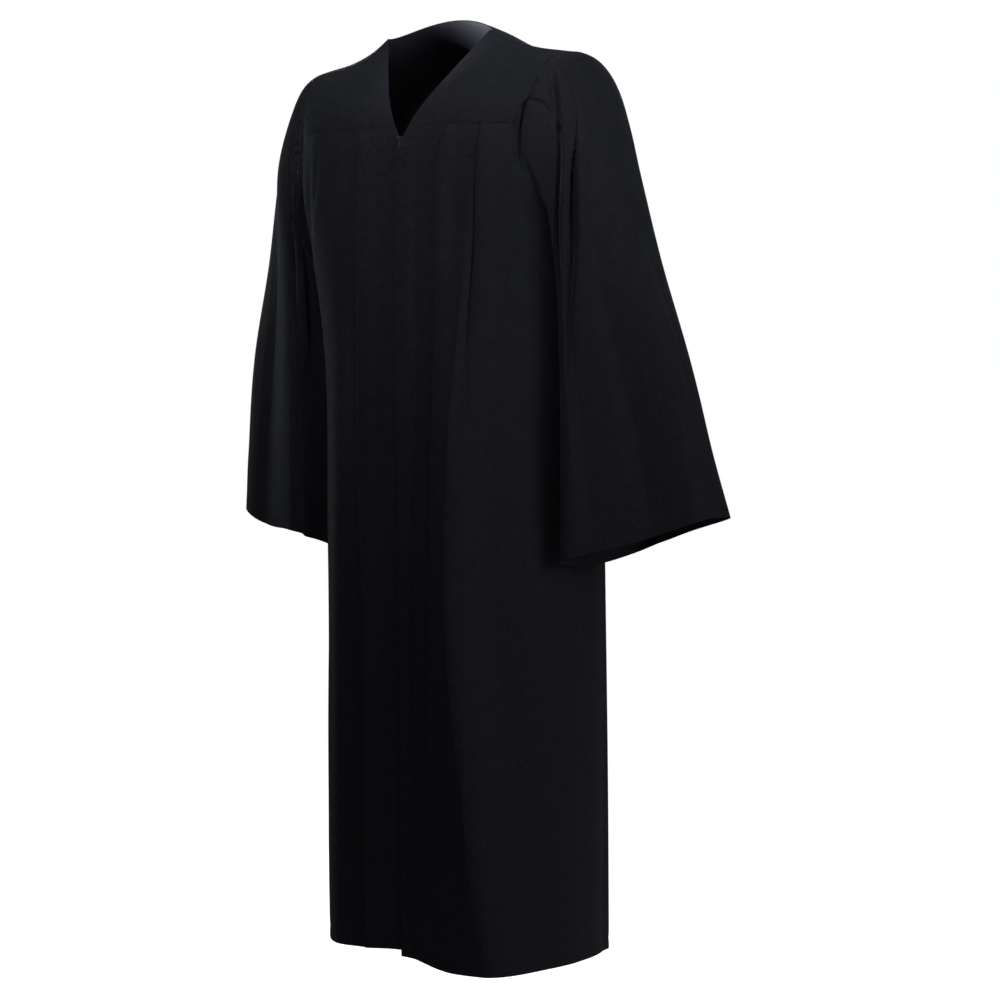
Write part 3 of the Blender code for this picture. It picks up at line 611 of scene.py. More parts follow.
def valley_relief(rows, across, drop):
    """A trough with a sharp bottom and two straight walls of its own widths."""
    middle, depth, inner, outer = columns_of(rows, drop)
    reach = np.where(across < middle, (middle - across) / inner, (across - middle) / outer)
    inside = (drop > rows[0].drop) & (drop < rows[-1].drop)
    return -depth * inside * (1 - np.clip(reach, 0, 1)) ** 1.3


def crease_relief(creases, across, drop):
    """Soft troughs and ridges that start and end gently and are not quite straight."""
    relief = np.zeros(np.broadcast(across, drop).shape)
    for number, crease in enumerate(creases):
        run = (drop - crease.top) / (crease.bottom - crease.top)
        inside = (run > 0) & (run < 1)
        run = np.clip(run, 0, 1)
        bow = 0.25 * crease.width * np.sin(2 * math.pi * run + number)
        away = (across - crease.across - crease.lean * run - bow) / crease.width
        strength = np.sin(math.pi * run) ** 0.8 * inside
        relief = relief - crease.depth * strength * np.exp(-away * away)
    return relief


def front_hem(across, side):
    """The hem rises towards the front opening, and on the wearer's right towards the side seam too."""
    at_opening, at_side = HEM_RISE[side]
    return GOWN_LENGTH - at_opening + (at_opening - at_side) * smooth(0.0, HEM_RISE_REACH, np.abs(across))


def back_hem(turns):
    """The back's hem starts level with the fronts' at each side seam and drops behind them."""
    from_side = np.where(turns < math.pi, turns, 2 * math.pi - turns) - math.pi / 2
    at_side = np.where(turns < math.pi, HEM_RISE[1][1], HEM_RISE[-1][1])
    return GOWN_LENGTH - at_side * (1 - smooth(0.0, SIDE_RISE_TURN, from_side))


def stretched(drop, hem):
    """The drop of a row on a panel whose hem hangs at its own drop."""
    share = np.clip((drop - UNDERARM_DROP) / (GOWN_LENGTH - UNDERARM_DROP), 0, 1)
    return drop + share * (hem - GOWN_LENGTH)


def front_edge(drop, side):
    """Where the panel's inner edge lies: on the V, then at the edge of the lap, or a little under it."""
    on_v = np.maximum(NECK_HALF_WIDTH * (1 - drop / V_DEPTH), 0.0)
    lap = np.interp(drop, (V_DEPTH, GOWN_LENGTH), (LAP_EDGE, LAP_EDGE_AT_HEM))
    lap = lap * smooth(V_DEPTH, LAP_START_DROP, drop)
    under = UNDERLAP * smooth(V_DEPTH, LAP_START_DROP, drop)
    return on_v + lap if side > 0 else -on_v + lap + under


def shoulder_line(shares):
    """The fold over the shoulder, from the neck to the armhole."""
    across = NECK_HALF_WIDTH + (SHOULDER[-1].across - NECK_HALF_WIDTH) * np.asarray(shares)
    rest = along(SHOULDER, across)
    return np.stack([across, rest[..., 0], rest[..., 1]], axis=-1)


def seam_start(shares):
    """How far up the front yoke its lower seam lies, as a share of the yoke's height."""
    return SEAM_RISE / FRONT_YOKE_DROP * smooth(SEAM_RISE_FROM, 1.0, shares)


def yoke_front(v, shares):
    """Points of the wearer's left front yoke: v runs from its straight lower line to the shoulder fold."""
    start = float(turn_across(np.array(front_edge(FRONT_YOKE_DROP, 1)), np.array(FRONT_YOKE_DROP)))
    end = float(side_turn(np.array(FRONT_YOKE_DROP), False))
    bottom = body_point(start + (end - start) * shares, np.full(np.shape(shares), FRONT_YOKE_DROP))
    bottom_inner = body_point(np.array(start), np.array(FRONT_YOKE_DROP))
    top = shoulder_line(shares)
    top_inner = shoulder_line(np.array(0.0))
    drop = FRONT_YOKE_DROP * (1 - v)
    on_v = NECK_HALF_WIDTH * (1 - drop / V_DEPTH)
    neck_edge = np.stack([on_v, along(NECK_EDGE, drop)[..., 0], -drop], axis=-1)
    bulge = (4 * v * (1 - v) * np.sqrt(shares))[..., None]
    rounding = np.array(YOKE_ROUND) + shares[..., None] * np.array(YOKE_ROUND_AT_ARMHOLE)
    up = v[..., None]
    points = bottom * (1 - up) + top * up + rounding * bulge
    inner = bottom_inner * (1 - up) + top_inner * up
    near_neck = (1 - smooth(0.0, NECK_EDGE_REACH, shares))[..., None]
    return points + near_neck * (neck_edge - inner)


def yoke_front_grid(side):
    """From the front yoke seam, row 0, up to the fold over the shoulder."""
    shares = np.linspace(0, 1, SHOULDER_COLUMNS)[None, :]
    rise = seam_start(shares)
    v = rise + (1 - rise) * np.linspace(0, 1, YOKE_ROWS)[:, None]
    grid = yoke_front(v, shares + 0 * v)
    grid[..., 0] *= side
    return grid


def yoke_back_grid():
    """From the back neck and the folds over the shoulders, row 0, down to the back yoke seam."""
    arc = np.linspace(0, math.pi / 2, NECK_COLUMNS)
    neck = np.stack(
        [
            NECK_HALF_WIDTH * np.sin(arc),
            NECK_POINT_FORWARD + (BACK_NECK_BEHIND - NECK_POINT_FORWARD) * np.cos(arc),
            BACK_NECK_RISE * np.cos(arc) ** 2,
        ],
        axis=-1,
    )
    top = np.concatenate([neck, shoulder_line(np.linspace(0, 1, SHOULDER_COLUMNS))[1:]])
    # On the solids the columns of neck and shoulder are shared out as 7 to 8
    shares = np.concatenate(
        [np.linspace(0, 6 / 14, NECK_COLUMNS), np.linspace(6 / 14, 1, SHOULDER_COLUMNS)[1:]]
    )
    edge = float(side_turn(np.array(BACK_YOKE_DROP), True))
    bottom = body_point(math.pi - (math.pi - edge) * shares, np.full(len(shares), BACK_YOKE_DROP))
    height_share, height_step = BACK_SHOULDER_HEIGHT
    corner = top + BACK_SHOULDER_SHARE * (bottom - top)
    corner[:, 1] = bottom[:, 1]
    corner[:, 2] = top[:, 2] * height_share + height_step
    down = np.linspace(0, 1, YOKE_ROWS)[:, None, None]
    half = top * (1 - down) ** 2 + 2 * down * (1 - down) * corner + bottom * down**2
    mirrored = half[:, :0:-1].copy()
    mirrored[:, :, 0] *= -1
    return np.concatenate([mirrored, half], axis=1)


def panel_drops(yoke_drop):
    """The rows of a panel, from its yoke seam down to the hem, closer together at the top."""
    upper = yoke_drop + (UNDERARM_DROP - yoke_drop) * np.linspace(0, 1, PANEL_UPPER_ROWS) ** 1.3
    lower = np.linspace(UNDERARM_DROP, GOWN_LENGTH, PANEL_LOWER_ROWS + 1)[1:]
    return np.concatenate([upper, lower])[:, None]


def pleated_columns(drop, side):
    """Where the columns of a front lie across it, and how far its pleats make them stand out. The raised edge
    of each pleat of the wearer's left front faces the middle, and that of the right one faces the side."""
    half, tuck_share, height_share = columns_of(PLEAT_PROFILE, np.linspace(0, 1, PLEAT_COLUMNS))
    half, tuck_share, height_share = (part[::side] for part in (half * side, tuck_share * side, height_share))
    spread = np.linspace(-1, 1, PLEAT_COLUMNS)
    block = np.linspace(0, 1, BLOCK_COLUMNS)
    start = front_edge(drop, side) * side
    places, own_heights = [], []
    for pleat in PLEATS[side]:
        middle, stand, tuck, _ = columns_of(pleat, drop)
        flat = start + (middle - PLEAT_HALF_WIDTH - start) * block[bool(places):-1]
        sharp = smooth(0.0, PLEAT_FLAT_BELOW, stand)
        folded = middle + (spread + (half - spread) * sharp) * PLEAT_HALF_WIDTH + tuck_share * tuck * sharp
        places += [flat, folded]
        own_heights += [0 * flat, stand * height_share]
        start = middle + PLEAT_HALF_WIDTH
    flat = start + (FRONT_LIMIT - start) * block[1:]
    across = np.concatenate([*places, flat], axis=1)
    height = np.concatenate([*own_heights, 0 * flat], axis=1)
    return across, height + pleat_swell(across, drop, side)


def pleat_swell(across, drop, side):
    """The swell beside each pleat's raised edge, outside the fold itself."""
    swell = 0 * across
    for pleat in PLEATS[side]:
        middle, stand, _, outer = columns_of(pleat, drop)
        away = (across - middle) * side
        beyond = away > PLEAT_HALF_WIDTH * 1.001
        swell = swell + beyond * stand * (1 - smooth(PLEAT_HALF_WIDTH, outer, away))
    return swell


def lap_relief(across, drop, side):
    """The lap stands out over the zip, its stitch line pulls in, and the other front dips under it."""
    below_v = smooth(V_DEPTH, LAP_START_DROP, drop)
    if side < 0:
        lap_edge = -np.interp(drop, (V_DEPTH, GOWN_LENGTH), (LAP_EDGE, LAP_EDGE_AT_HEM))
        return -UNDERLAP_SINK * below_v * smooth(lap_edge - 0.0002, lap_edge - 0.0024, across)
    lap = LAP_HEIGHT * smooth(LAP_STITCH + 0.004, LAP_STITCH - 0.001, across)
    stitch = LAP_STITCH_DIP * np.exp(-(((across - LAP_STITCH) / LAP_STITCH_REACH) ** 2))
    return (lap - stitch) * below_v


def seam_dip(distance):
    """Cloth pulls in beside a seam."""
    return SEAM_DIP * np.exp(-((distance / SEAM_DIP_REACH) ** 2))


def hem_dip(distance):
    """The stitch line of the hem pulls the cloth in a little."""
    return HEM_DIP * np.exp(-(((distance - HEM_STITCH) / HEM_DIP_REACH) ** 2))


def front_grid(side):
    """A front panel from the middle to the armhole and the side seam. Its last column is the seam's
    allowance, which lies under the sleeve and the back."""
    drop = panel_drops(FRONT_YOKE_DROP)
    across, height = pleated_columns(drop, side)
    turn = turn_across(across, drop)
    last = side_turn(drop, False)
    to_side = turn[:, -1:] + (last - turn[:, -1:]) * np.linspace(0, 1, SIDE_COLUMNS + 1)[1:]
    side_across = body_point(to_side, drop)[..., 0]
    beside = pleat_swell(side_across, drop, side)
    turn = np.concatenate([turn, to_side, last + SEAM_ALLOWANCE], axis=1)
    across = np.concatenate([across, side_across, side_across[:, -1:]], axis=1)
    relief = np.concatenate([height, beside, beside[:, -1:]], axis=1) + lap_relief(across, drop, side)
    if side > 0:
        relief = relief + crest_height(LEFT_FLUTE, across, drop) + valley_relief(LEFT_VALLEY, across, drop)
    else:
        relief = relief + fold_height(RIGHT_FLUTE, across, drop)
    relief = relief + crease_relief(FRONT_CREASES[side], across, drop)
    near_side = np.concatenate([np.zeros(height.shape[1]), np.linspace(0, 1, SIDE_COLUMNS), [1.0]])
    clear_seam = smooth(SEAM_CLEAR_FROM, SEAM_CLEAR_TO, across) * (side > 0)
    visible_seam = SEAM_FAINT + (1 - SEAM_FAINT) * clear_seam
    from_seam = drop - FRONT_YOKE_DROP
    relief = relief * (1 - (1 - smooth(0.0, SEAM_HOLDS, from_seam)) * (1 - 0.7 * clear_seam))
    relief = relief * (1 - smooth(0.93, 1.0, near_side)) - seam_dip(from_seam) * visible_seam
    relief = relief - hem_dip(GOWN_LENGTH - drop)
    relief[:, -1] -= SEAM_SINK
    points = body_point(turn * side, drop) + outward(turn * side, drop) * relief[..., None]
    points[..., 2] = -stretched(drop, front_hem(across, side))
    return meet_yoke(points, drop, side)


def meet_yoke(points, drop, side):
    """Lifts the panel's top to the yoke's seam where that rises towards the armhole."""
    shares = np.linspace(0, 1, 400)
    seam = yoke_front(seam_start(shares), shares)
    straight = yoke_front(0 * shares, shares)
    lift = seam - straight
    place = np.abs(points[:1, :, 0])
    step = np.stack([np.interp(place, straight[:, 0], lift[:, k]) for k in range(3)], axis=-1)
    step[..., 0] *= side
    fade = 1 - smooth(FRONT_YOKE_DROP, FRONT_YOKE_DROP + SEAM_RISE_FADE, drop)
    return points + step * fade[..., None]


def back_grid():
    drop = panel_drops(BACK_YOKE_DROP)
    edge = side_turn(drop, True)
    turn = edge + (2 * math.pi - 2 * edge) * np.linspace(0, 1, BACK_COLUMNS)
    folded = np.minimum(turn, 2 * math.pi - turn)
    share = (folded - math.pi / 2) / (math.pi / 2)
    height = BACK_FLUTE_TOP + (BACK_FLUTE_HEM - BACK_FLUTE_TOP) * smooth(0.2, 1.2, drop)
    wave = 0.5 + 0.5 * np.cos(BACK_FLUTES * 2 * (math.pi - folded) + 0.5 * np.sin(3 * folded))
    uneven = 1 + 0.22 * np.sin(5.3 * turn + 2.1 * drop)
    relief = height * wave * uneven * smooth(0.15, 0.65, share) * smooth(BACK_YOKE_DROP - 0.01, 0.25, drop)
    relief = relief + crease_relief(BACK_CREASES, turn - math.pi, drop)
    relief = relief - seam_dip(drop - BACK_YOKE_DROP) - hem_dip(GOWN_LENGTH - drop)
    points = body_point(turn, drop) + outward(turn, drop) * relief[..., None]
    points[..., 2] = -stretched(drop, back_hem(turn))
    return points


def armhole_ring(side, front, back, yoke_front_side, yoke_back):
    """The armhole from the shoulder fold through the front, the underarm and the back, as on the left."""
    column = -1 if side > 0 else 0
    ring = np.concatenate(
        [
            yoke_front_side[::-1, -1],
            front[1:PANEL_UPPER_ROWS, -2],
            back[1:PANEL_UPPER_ROWS - 1, 0 if side > 0 else -1][::-1],
            yoke_back[:, column][::-1],
        ]
    )
    ring = ring * (side, 1, 1)
    closed = np.concatenate([ring, ring[:1]])
    lengths = np.concatenate([[0], np.cumsum(np.linalg.norm(np.diff(closed, axis=0), axis=1))])
    # The front's columns lie closer together, for its folds
    around = np.interp(np.linspace(0, 1, SLEEVE_COLUMNS + 1)[:-1], (0, 0.60, 1), (0, 0.45, 1))
    evenly = [np.interp(around * lengths[-1], lengths, closed[:, k]) for k in range(3)]
    return around, np.stack(evenly, axis=-1)


def sleeve_section(share, around):
    """Points of the sleeve without folds, round one ring, by a closed smooth curve through its lines."""
    anchors = np.array([along(rows, share) for rows in SLEEVE_LINES])
    gaps = np.linalg.norm(np.roll(anchors, -1, axis=0) - anchors, axis=1)
    knots = np.concatenate([[0], np.cumsum(gaps)]) / gaps.sum()
    wrapped = np.concatenate([anchors[-2:], anchors, anchors[:3]])
    places = np.concatenate([knots[-3:-1] - 1, knots[:-1], knots[:3] + 1])
    table = [tuple([place, *point]) for place, point in zip(places, wrapped)]
    shoulder = -0.5 * gaps[-1] / gaps.sum()
    return along(table, (around + shoulder + 1e-9) % 1.0)


def sleeve_relief(share, around, side):
    """The troughs and ridges of the sleeve, which lean round it as they run down."""
    from_top = np.minimum(around, 1 - around)
    dip = SLEEVE_SEAM_DIP * math.exp(-((share / SLEEVE_SEAM_DIP_SHARE) ** 2))
    relief = -dip * smooth(0.02, 0.10, from_top)
    for rows in SLEEVE_TROUGHS[side]:
        if not rows[0].share <= share <= rows[-1].share:
            continue
        middle, depth, width = along(rows, share)
        away = ((around - middle + 0.5) % 1 - 0.5) * side
        reach = np.where(away < 0, -away / (width * BROAD_WALL), away / (width * STEEP_WALL))
        relief = relief - depth * (1 - np.clip(reach, 0, 1)) ** SLEEVE_WALL_POWER
    return relief


def sleeve_grid(side, around, ring):
    start = sleeve_section(0.0, around)
    grid = []
    for share in np.linspace(0, 1, SLEEVE_ROWS) ** SLEEVE_ROW_SPREAD:
        points = sleeve_section(share, around)
        points = points + (ring - start) * (1 - smooth(0.0, 0.3, share))
        ahead = np.roll(points, -1, axis=0) - np.roll(points, 1, axis=0)
        down = sleeve_section(min(share + 0.02, 1.0), around) - sleeve_section(max(share - 0.02, 0.0), around)
        normal = np.cross(ahead, down)
        normal = normal / np.maximum(np.linalg.norm(normal, axis=1, keepdims=True), 1e-12)
        away = points - points.mean(axis=0)
        normal = normal * np.sign((normal * away).sum(axis=1).mean())
        points = points + normal * sleeve_relief(share, around, side)[:, None]
        if side < 0:
            inner_front = sleeve_section(share, around) - along(SLEEVE_FRONT, share)
            near = 1 - smooth(0.0, RIGHT_CUFF_LIFT_REACH, np.linalg.norm(inner_front, axis=1))
            points[:, 2] += RIGHT_CUFF_LIFT * share**3 * near
        grid.append(points)
    grid = np.array(grid)
    grid = np.concatenate([grid, grid[:, :1]], axis=1)
    grid[:, :, 0] *= side
    return grid


def faced(grid, inside):
    """Quads over a grid of points, turned so that they face away from the hollow inside it."""
    rows, columns = grid.shape[:2]
    index = np.arange(rows * columns).reshape(rows, columns)
    quads = np.stack([index[:-1, :-1], index[:-1, 1:], index[1:, 1:], index[1:, :-1]], axis=-1).reshape(-1, 4)
    points = grid.reshape(-1, 3)
    corners = points[quads]
    normals = np.cross(corners[:, 2] - corners[:, 0], corners[:, 3] - corners[:, 1])
    centres = corners.mean(axis=1)
    same = np.ones(len(centres))
    level = np.minimum(centres[:, 2], HOLLOW_TOP)
    hollow = np.stack([same * inside[0], same * inside[1], level], axis=-1)
    if (normals * (centres - hollow)).sum() < 0:
        quads = quads[:, ::-1]
    return quads


def cloth_measures(grid):
    """Where each point lies along and down the cloth, in metres."""
    rows, columns = grid.shape[:2]
    across = np.linalg.norm(np.diff(grid[rows // 2], axis=0), axis=1)
    down = np.linalg.norm(np.diff(grid[:, columns // 2], axis=0), axis=1)
    u = np.concatenate([[0], np.cumsum(across)])[None, :] + np.zeros((rows, 1))
    v = -np.concatenate([[0], np.cumsum(down)])[:, None] + np.zeros((1, columns))
    return np.stack([u, v], axis=-1).reshape(-1, 2)


def linked(name, mesh, material):
    """A new object of the scene with this mesh and finish."""
    mesh.materials.append(material)
    obj = bpy.data.objects.new(name, mesh)
    bpy.context.scene.collection.objects.link(obj)
    return obj


def shell(name, grids, inside, wall, material, lining=None):
    """A thin cloth shell over grids of points that share their edges, with a lining where one is given."""
    points, quads, measures = [], [], []
    for grid in grids:
        quads.append(faced(grid, inside) + sum(len(part) for part in points))
        points.append(grid.reshape(-1, 3))
        measures.append(cloth_measures(grid))
    points, quads, measures = (np.concatenate(part) for part in (points, quads, measures))
    mesh = bpy.data.meshes.new(name)
    mesh.from_pydata(points.tolist(), [], quads.tolist())
    layer = mesh.uv_layers.new(name="cloth")
    layer.data.foreach_set("uv", measures[quads.reshape(-1)].astype(np.float32).reshape(-1))
    bm = bmesh.new()
    bm.from_mesh(mesh)
    bmesh.ops.remove_doubles(bm, verts=bm.verts, dist=WELD)
    bm.to_mesh(mesh)
    bm.free()
    mesh.shade_smooth()
    obj = linked(name, mesh, material)
    thickness = obj.modifiers.new("cloth thickness", "SOLIDIFY")
    thickness.thickness = wall
    thickness.offset = -1.0
    if lining:
        mesh.materials.append(lining)
        thickness.material_offset = 1
    made_plain(obj)
    obj.data.set_sharp_from_angle(angle=EDGE_ANGLE)
    return obj


def made_plain(obj):
    """Puts the result of an object's modifiers into its mesh and removes them."""
    bpy.context.view_layer.update()
    mesh = bpy.data.meshes.new_from_object(obj.evaluated_get(bpy.context.evaluated_depsgraph_get()))
    obj.modifiers.clear()
    mesh.name = obj.name
    obj.data = mesh


def tube(name, path, radius, sides, material):
    """A round tube of short rings along a path, closed at both ends."""
    path = np.array(path)
    ahead = np.gradient(path, axis=0)
    ahead = ahead / np.linalg.norm(ahead, axis=1, keepdims=True)
    first = np.cross(ahead, (0.0, 0.0, 1.0))
    first = first / np.maximum(np.linalg.norm(first, axis=1, keepdims=True), 1e-9)
    second = np.cross(ahead, first)
    turn = np.linspace(0, 2 * math.pi, sides, endpoint=False)
    rings = path[:, None] + radius * (
        np.cos(turn)[None, :, None] * first[:, None] + np.sin(turn)[None, :, None] * second[:, None]
    )
    bm = bmesh.new()
    verts = [[bm.verts.new(point) for point in ring] for ring in rings]
    for one, other in zip(verts, verts[1:]):
        for k in range(sides):
            bm.faces.new((one[k], one[(k + 1) % sides], other[(k + 1) % sides], other[k]))
    bm.faces.new(verts[0][::-1])
    bm.faces.new(verts[-1])
    bmesh.ops.recalc_face_normals(bm, faces=bm.faces)
    mesh = bpy.data.meshes.new(name)
    bm.to_mesh(mesh)
    bm.free()
    mesh.shade_smooth()
    return linked(name, mesh, material)


def lifted(grid, inside, step):
    """The points of a grid moved straight out of its surface."""
    along_rows = np.gradient(grid, axis=0)
    along_columns = np.gradient(grid, axis=1)
    normal = np.cross(along_rows, along_columns)
    normal = normal / np.maximum(np.linalg.norm(normal, axis=-1, keepdims=True), 1e-12)
    flat = 0 * grid[..., 0]
    hollow = np.stack([flat + inside[0], flat + inside[1], np.minimum(grid[..., 2], HOLLOW_TOP)], axis=-1)
    return grid + normal * np.sign((normal * (grid - hollow)).sum()) * step


def across_line(grid, across):
    """The line down a grid at one place across it."""
    inner = grid[:, :INNER_COLUMNS]
    return np.array([[across, *(np.interp(across, row[:, 0], row[:, k]) for k in (1, 2))] for row in inner])


def stitch_lines():
    """The stitch lines: beside the neck and the yoke's seams, down the lap, and along hem and cuffs."""
    fronts = {side: lifted(front_grid(side), BODY_AXIS, THREAD_LIFT) for side in (1, -1)}
    yokes = {side: lifted(yoke_front_grid(side), BODY_AXIS, THREAD_LIFT) for side in (1, -1)}
    back = lifted(back_grid(), BODY_AXIS, THREAD_LIFT)
    yoke_back = lifted(yoke_back_grid(), BODY_AXIS, THREAD_LIFT)
    lines = [across_line(fronts[1][6:], LAP_STITCH)]
    for side in (1, -1):
        lines += [yokes[side][1], yokes[side][1:, 2], fronts[side][-HEM_STITCH_ROW, :-1]]
        joined = (front_grid(side), back_grid(), yoke_front_grid(side), yoke_back_grid())
        around, ring = armhole_ring(side, *joined)
        axis = (side * SLEEVE_AXIS[0], SLEEVE_AXIS[1])
        lines.append(lifted(sleeve_grid(side, around, ring), axis, THREAD_LIFT)[-HEM_STITCH_ROW])
    neck = SHOULDER_COLUMNS + 1
    lines += [yoke_back[2, neck:-neck], yoke_back[-2], back[-HEM_STITCH_ROW]]
    return lines


def neck_line():
    """The edge of the neck opening, from the foot of the V up its left side, round behind and down again."""
    sides = {}
    for side in (1, -1):
        front = front_grid(side)
        on_v = (front[:, 0, 2] > -V_DEPTH)
        sides[side] = np.concatenate([front[on_v, 0][::-1], yoke_front_grid(side)[1:, 0]])
    neck = SHOULDER_COLUMNS - 1
    behind = yoke_back_grid()[0, neck + 1:-neck - 1]
    if np.linalg.norm(behind[0] - sides[1][-1]) > np.linalg.norm(behind[-1] - sides[1][-1]):
        behind = behind[::-1]
    return np.concatenate([sides[1], behind, sides[-1][::-1]])


def tape_strips():
    """The two strips of the zip's tape behind the lap."""
    drop = np.linspace(TAPE_TOP, TAPE_TOP + TAPE_LENGTH, 120)[:, None]
    strips = []
    for inner, outer in ((TAPE_INNER, TAPE_OUTER), (-TAPE_OUTER, -TAPE_INNER)):
        turn = turn_across(np.linspace(inner, outer, 8)[None, :] + 0 * drop, drop)
        strips.append(body_point(turn, drop) - outward(turn, drop) * TAPE_DEPTH)
    return strips


def teeth_lines():
    """The two lines that the zip's teeth stand on, half a step apart."""
    lines = []
    for across, start in ((TEETH_FROM_MIDDLE, 0.0), (-TEETH_FROM_MIDDLE, 0.5)):
        drop = np.linspace(TEETH_TOP + start * TOOTH_STEP, TAPE_TOP + TAPE_LENGTH - 0.004, 200)
        turn = turn_across(across + 0 * drop, drop)
        lines.append(body_point(turn, drop) - outward(turn, drop) * TEETH_DEPTH)
    return lines


def repeated_group(name, kind):
    """Geometry nodes that set small shapes at even steps along the lines of a mesh: threads or zip teeth."""
    group = bpy.data.node_groups.new(name, "GeometryNodeTree")
    face = group.interface
    face.new_socket("Geometry", in_out="INPUT", socket_type="NodeSocketGeometry")
    for label, default in (("Step", 0.0032), ("Width", 0.0005), ("Depth", 0.0005), ("Length", 0.0024)):
        socket = face.new_socket(label, in_out="INPUT", socket_type="NodeSocketFloat")
        socket.default_value = default
    face.new_socket("Finish", in_out="INPUT", socket_type="NodeSocketMaterial")
    face.new_socket("Geometry", in_out="OUTPUT", socket_type="NodeSocketGeometry")
    links = group.links
    enter = node_at(group, "NodeGroupInput", (-900, 0))
    leave = node_at(group, "NodeGroupOutput", (1100, 0))
    curve = node_at(group, "GeometryNodeMeshToCurve", (-700, 100))
    steps = node_at(group, "GeometryNodeResampleCurve", (-500, 100), mode="LENGTH")
    shape = node_at(group, kind, (-300, -150))
    tangent = node_at(group, "GeometryNodeInputTangent", (-500, -300))
    turned = node_at(group, "FunctionNodeAlignRotationToVector", (-300, -400), axis="Z")
    size = node_at(group, "ShaderNodeCombineXYZ", (-300, -600))
    placed = node_at(group, "GeometryNodeInstanceOnPoints", (0, 0))
    whole = node_at(group, "GeometryNodeRealizeInstances", (300, 0))
    finish = node_at(group, "GeometryNodeSetMaterial", (600, 0))
    links.new(enter.outputs["Geometry"], curve.inputs["Mesh"])
    links.new(curve.outputs["Curve"], steps.inputs["Curve"])
    links.new(enter.outputs["Step"], steps.inputs["Length"])
    links.new(steps.outputs["Curve"], placed.inputs["Points"])
    links.new(shape.outputs["Mesh"], placed.inputs["Instance"])
    links.new(tangent.outputs["Tangent"], turned.inputs["Vector"])
    links.new(turned.outputs["Rotation"], placed.inputs["Rotation"])
    for axis, label in (("X", "Width"), ("Y", "Depth"), ("Z", "Length")):
        links.new(enter.outputs[label], size.inputs[axis])
    links.new(size.outputs["Vector"], placed.inputs["Scale"])
    links.new(placed.outputs["Instances"], whole.inputs["Geometry"])
    links.new(whole.outputs["Geometry"], finish.inputs["Geometry"])
    links.new(enter.outputs["Finish"], finish.inputs["Material"])
    links.new(finish.outputs["Geometry"], leave.inputs["Geometry"])
    return group


def repeated_along(name, lines, group, sizes, material):
    """A plain mesh of the shapes that a group sets along these lines."""
    points, edges = [], []
    for line in lines:
        first = len(points)
        points += [tuple(point) for point in line]
        edges += [(k, k + 1) for k in range(first, len(points) - 1)]
    mesh = bpy.data.meshes.new(name + " lines")
    mesh.from_pydata(points, edges, [])
    source = bpy.data.objects.new(name + " lines", mesh)
    bpy.context.scene.collection.objects.link(source)
    modifier = source.modifiers.new("repeat", "NODES")
    modifier.node_group = group
    values = dict(sizes, Finish=material)
    for item in group.interface.items_tree:
        if item.in_out == "INPUT" and item.name in values:
            modifier[item.identifier] = values[item.name]
    bpy.context.view_layer.update()
    made = bpy.data.meshes.new_from_object(source.evaluated_get(bpy.context.evaluated_depsgraph_get()))
    bpy.data.objects.remove(source)
    made.name = name
    obj = bpy.data.objects.new(name, made)
    bpy.context.scene.collection.objects.link(obj)
    made.shade_smooth()
    return obj


def node_at(tree, kind, place, **settings):
    """A new node of a tree at this place on its canvas, with these settings."""
    node = tree.nodes.new(kind)
    node.location = place
    for key, value in settings.items():
        setattr(node, key, value)
    return node


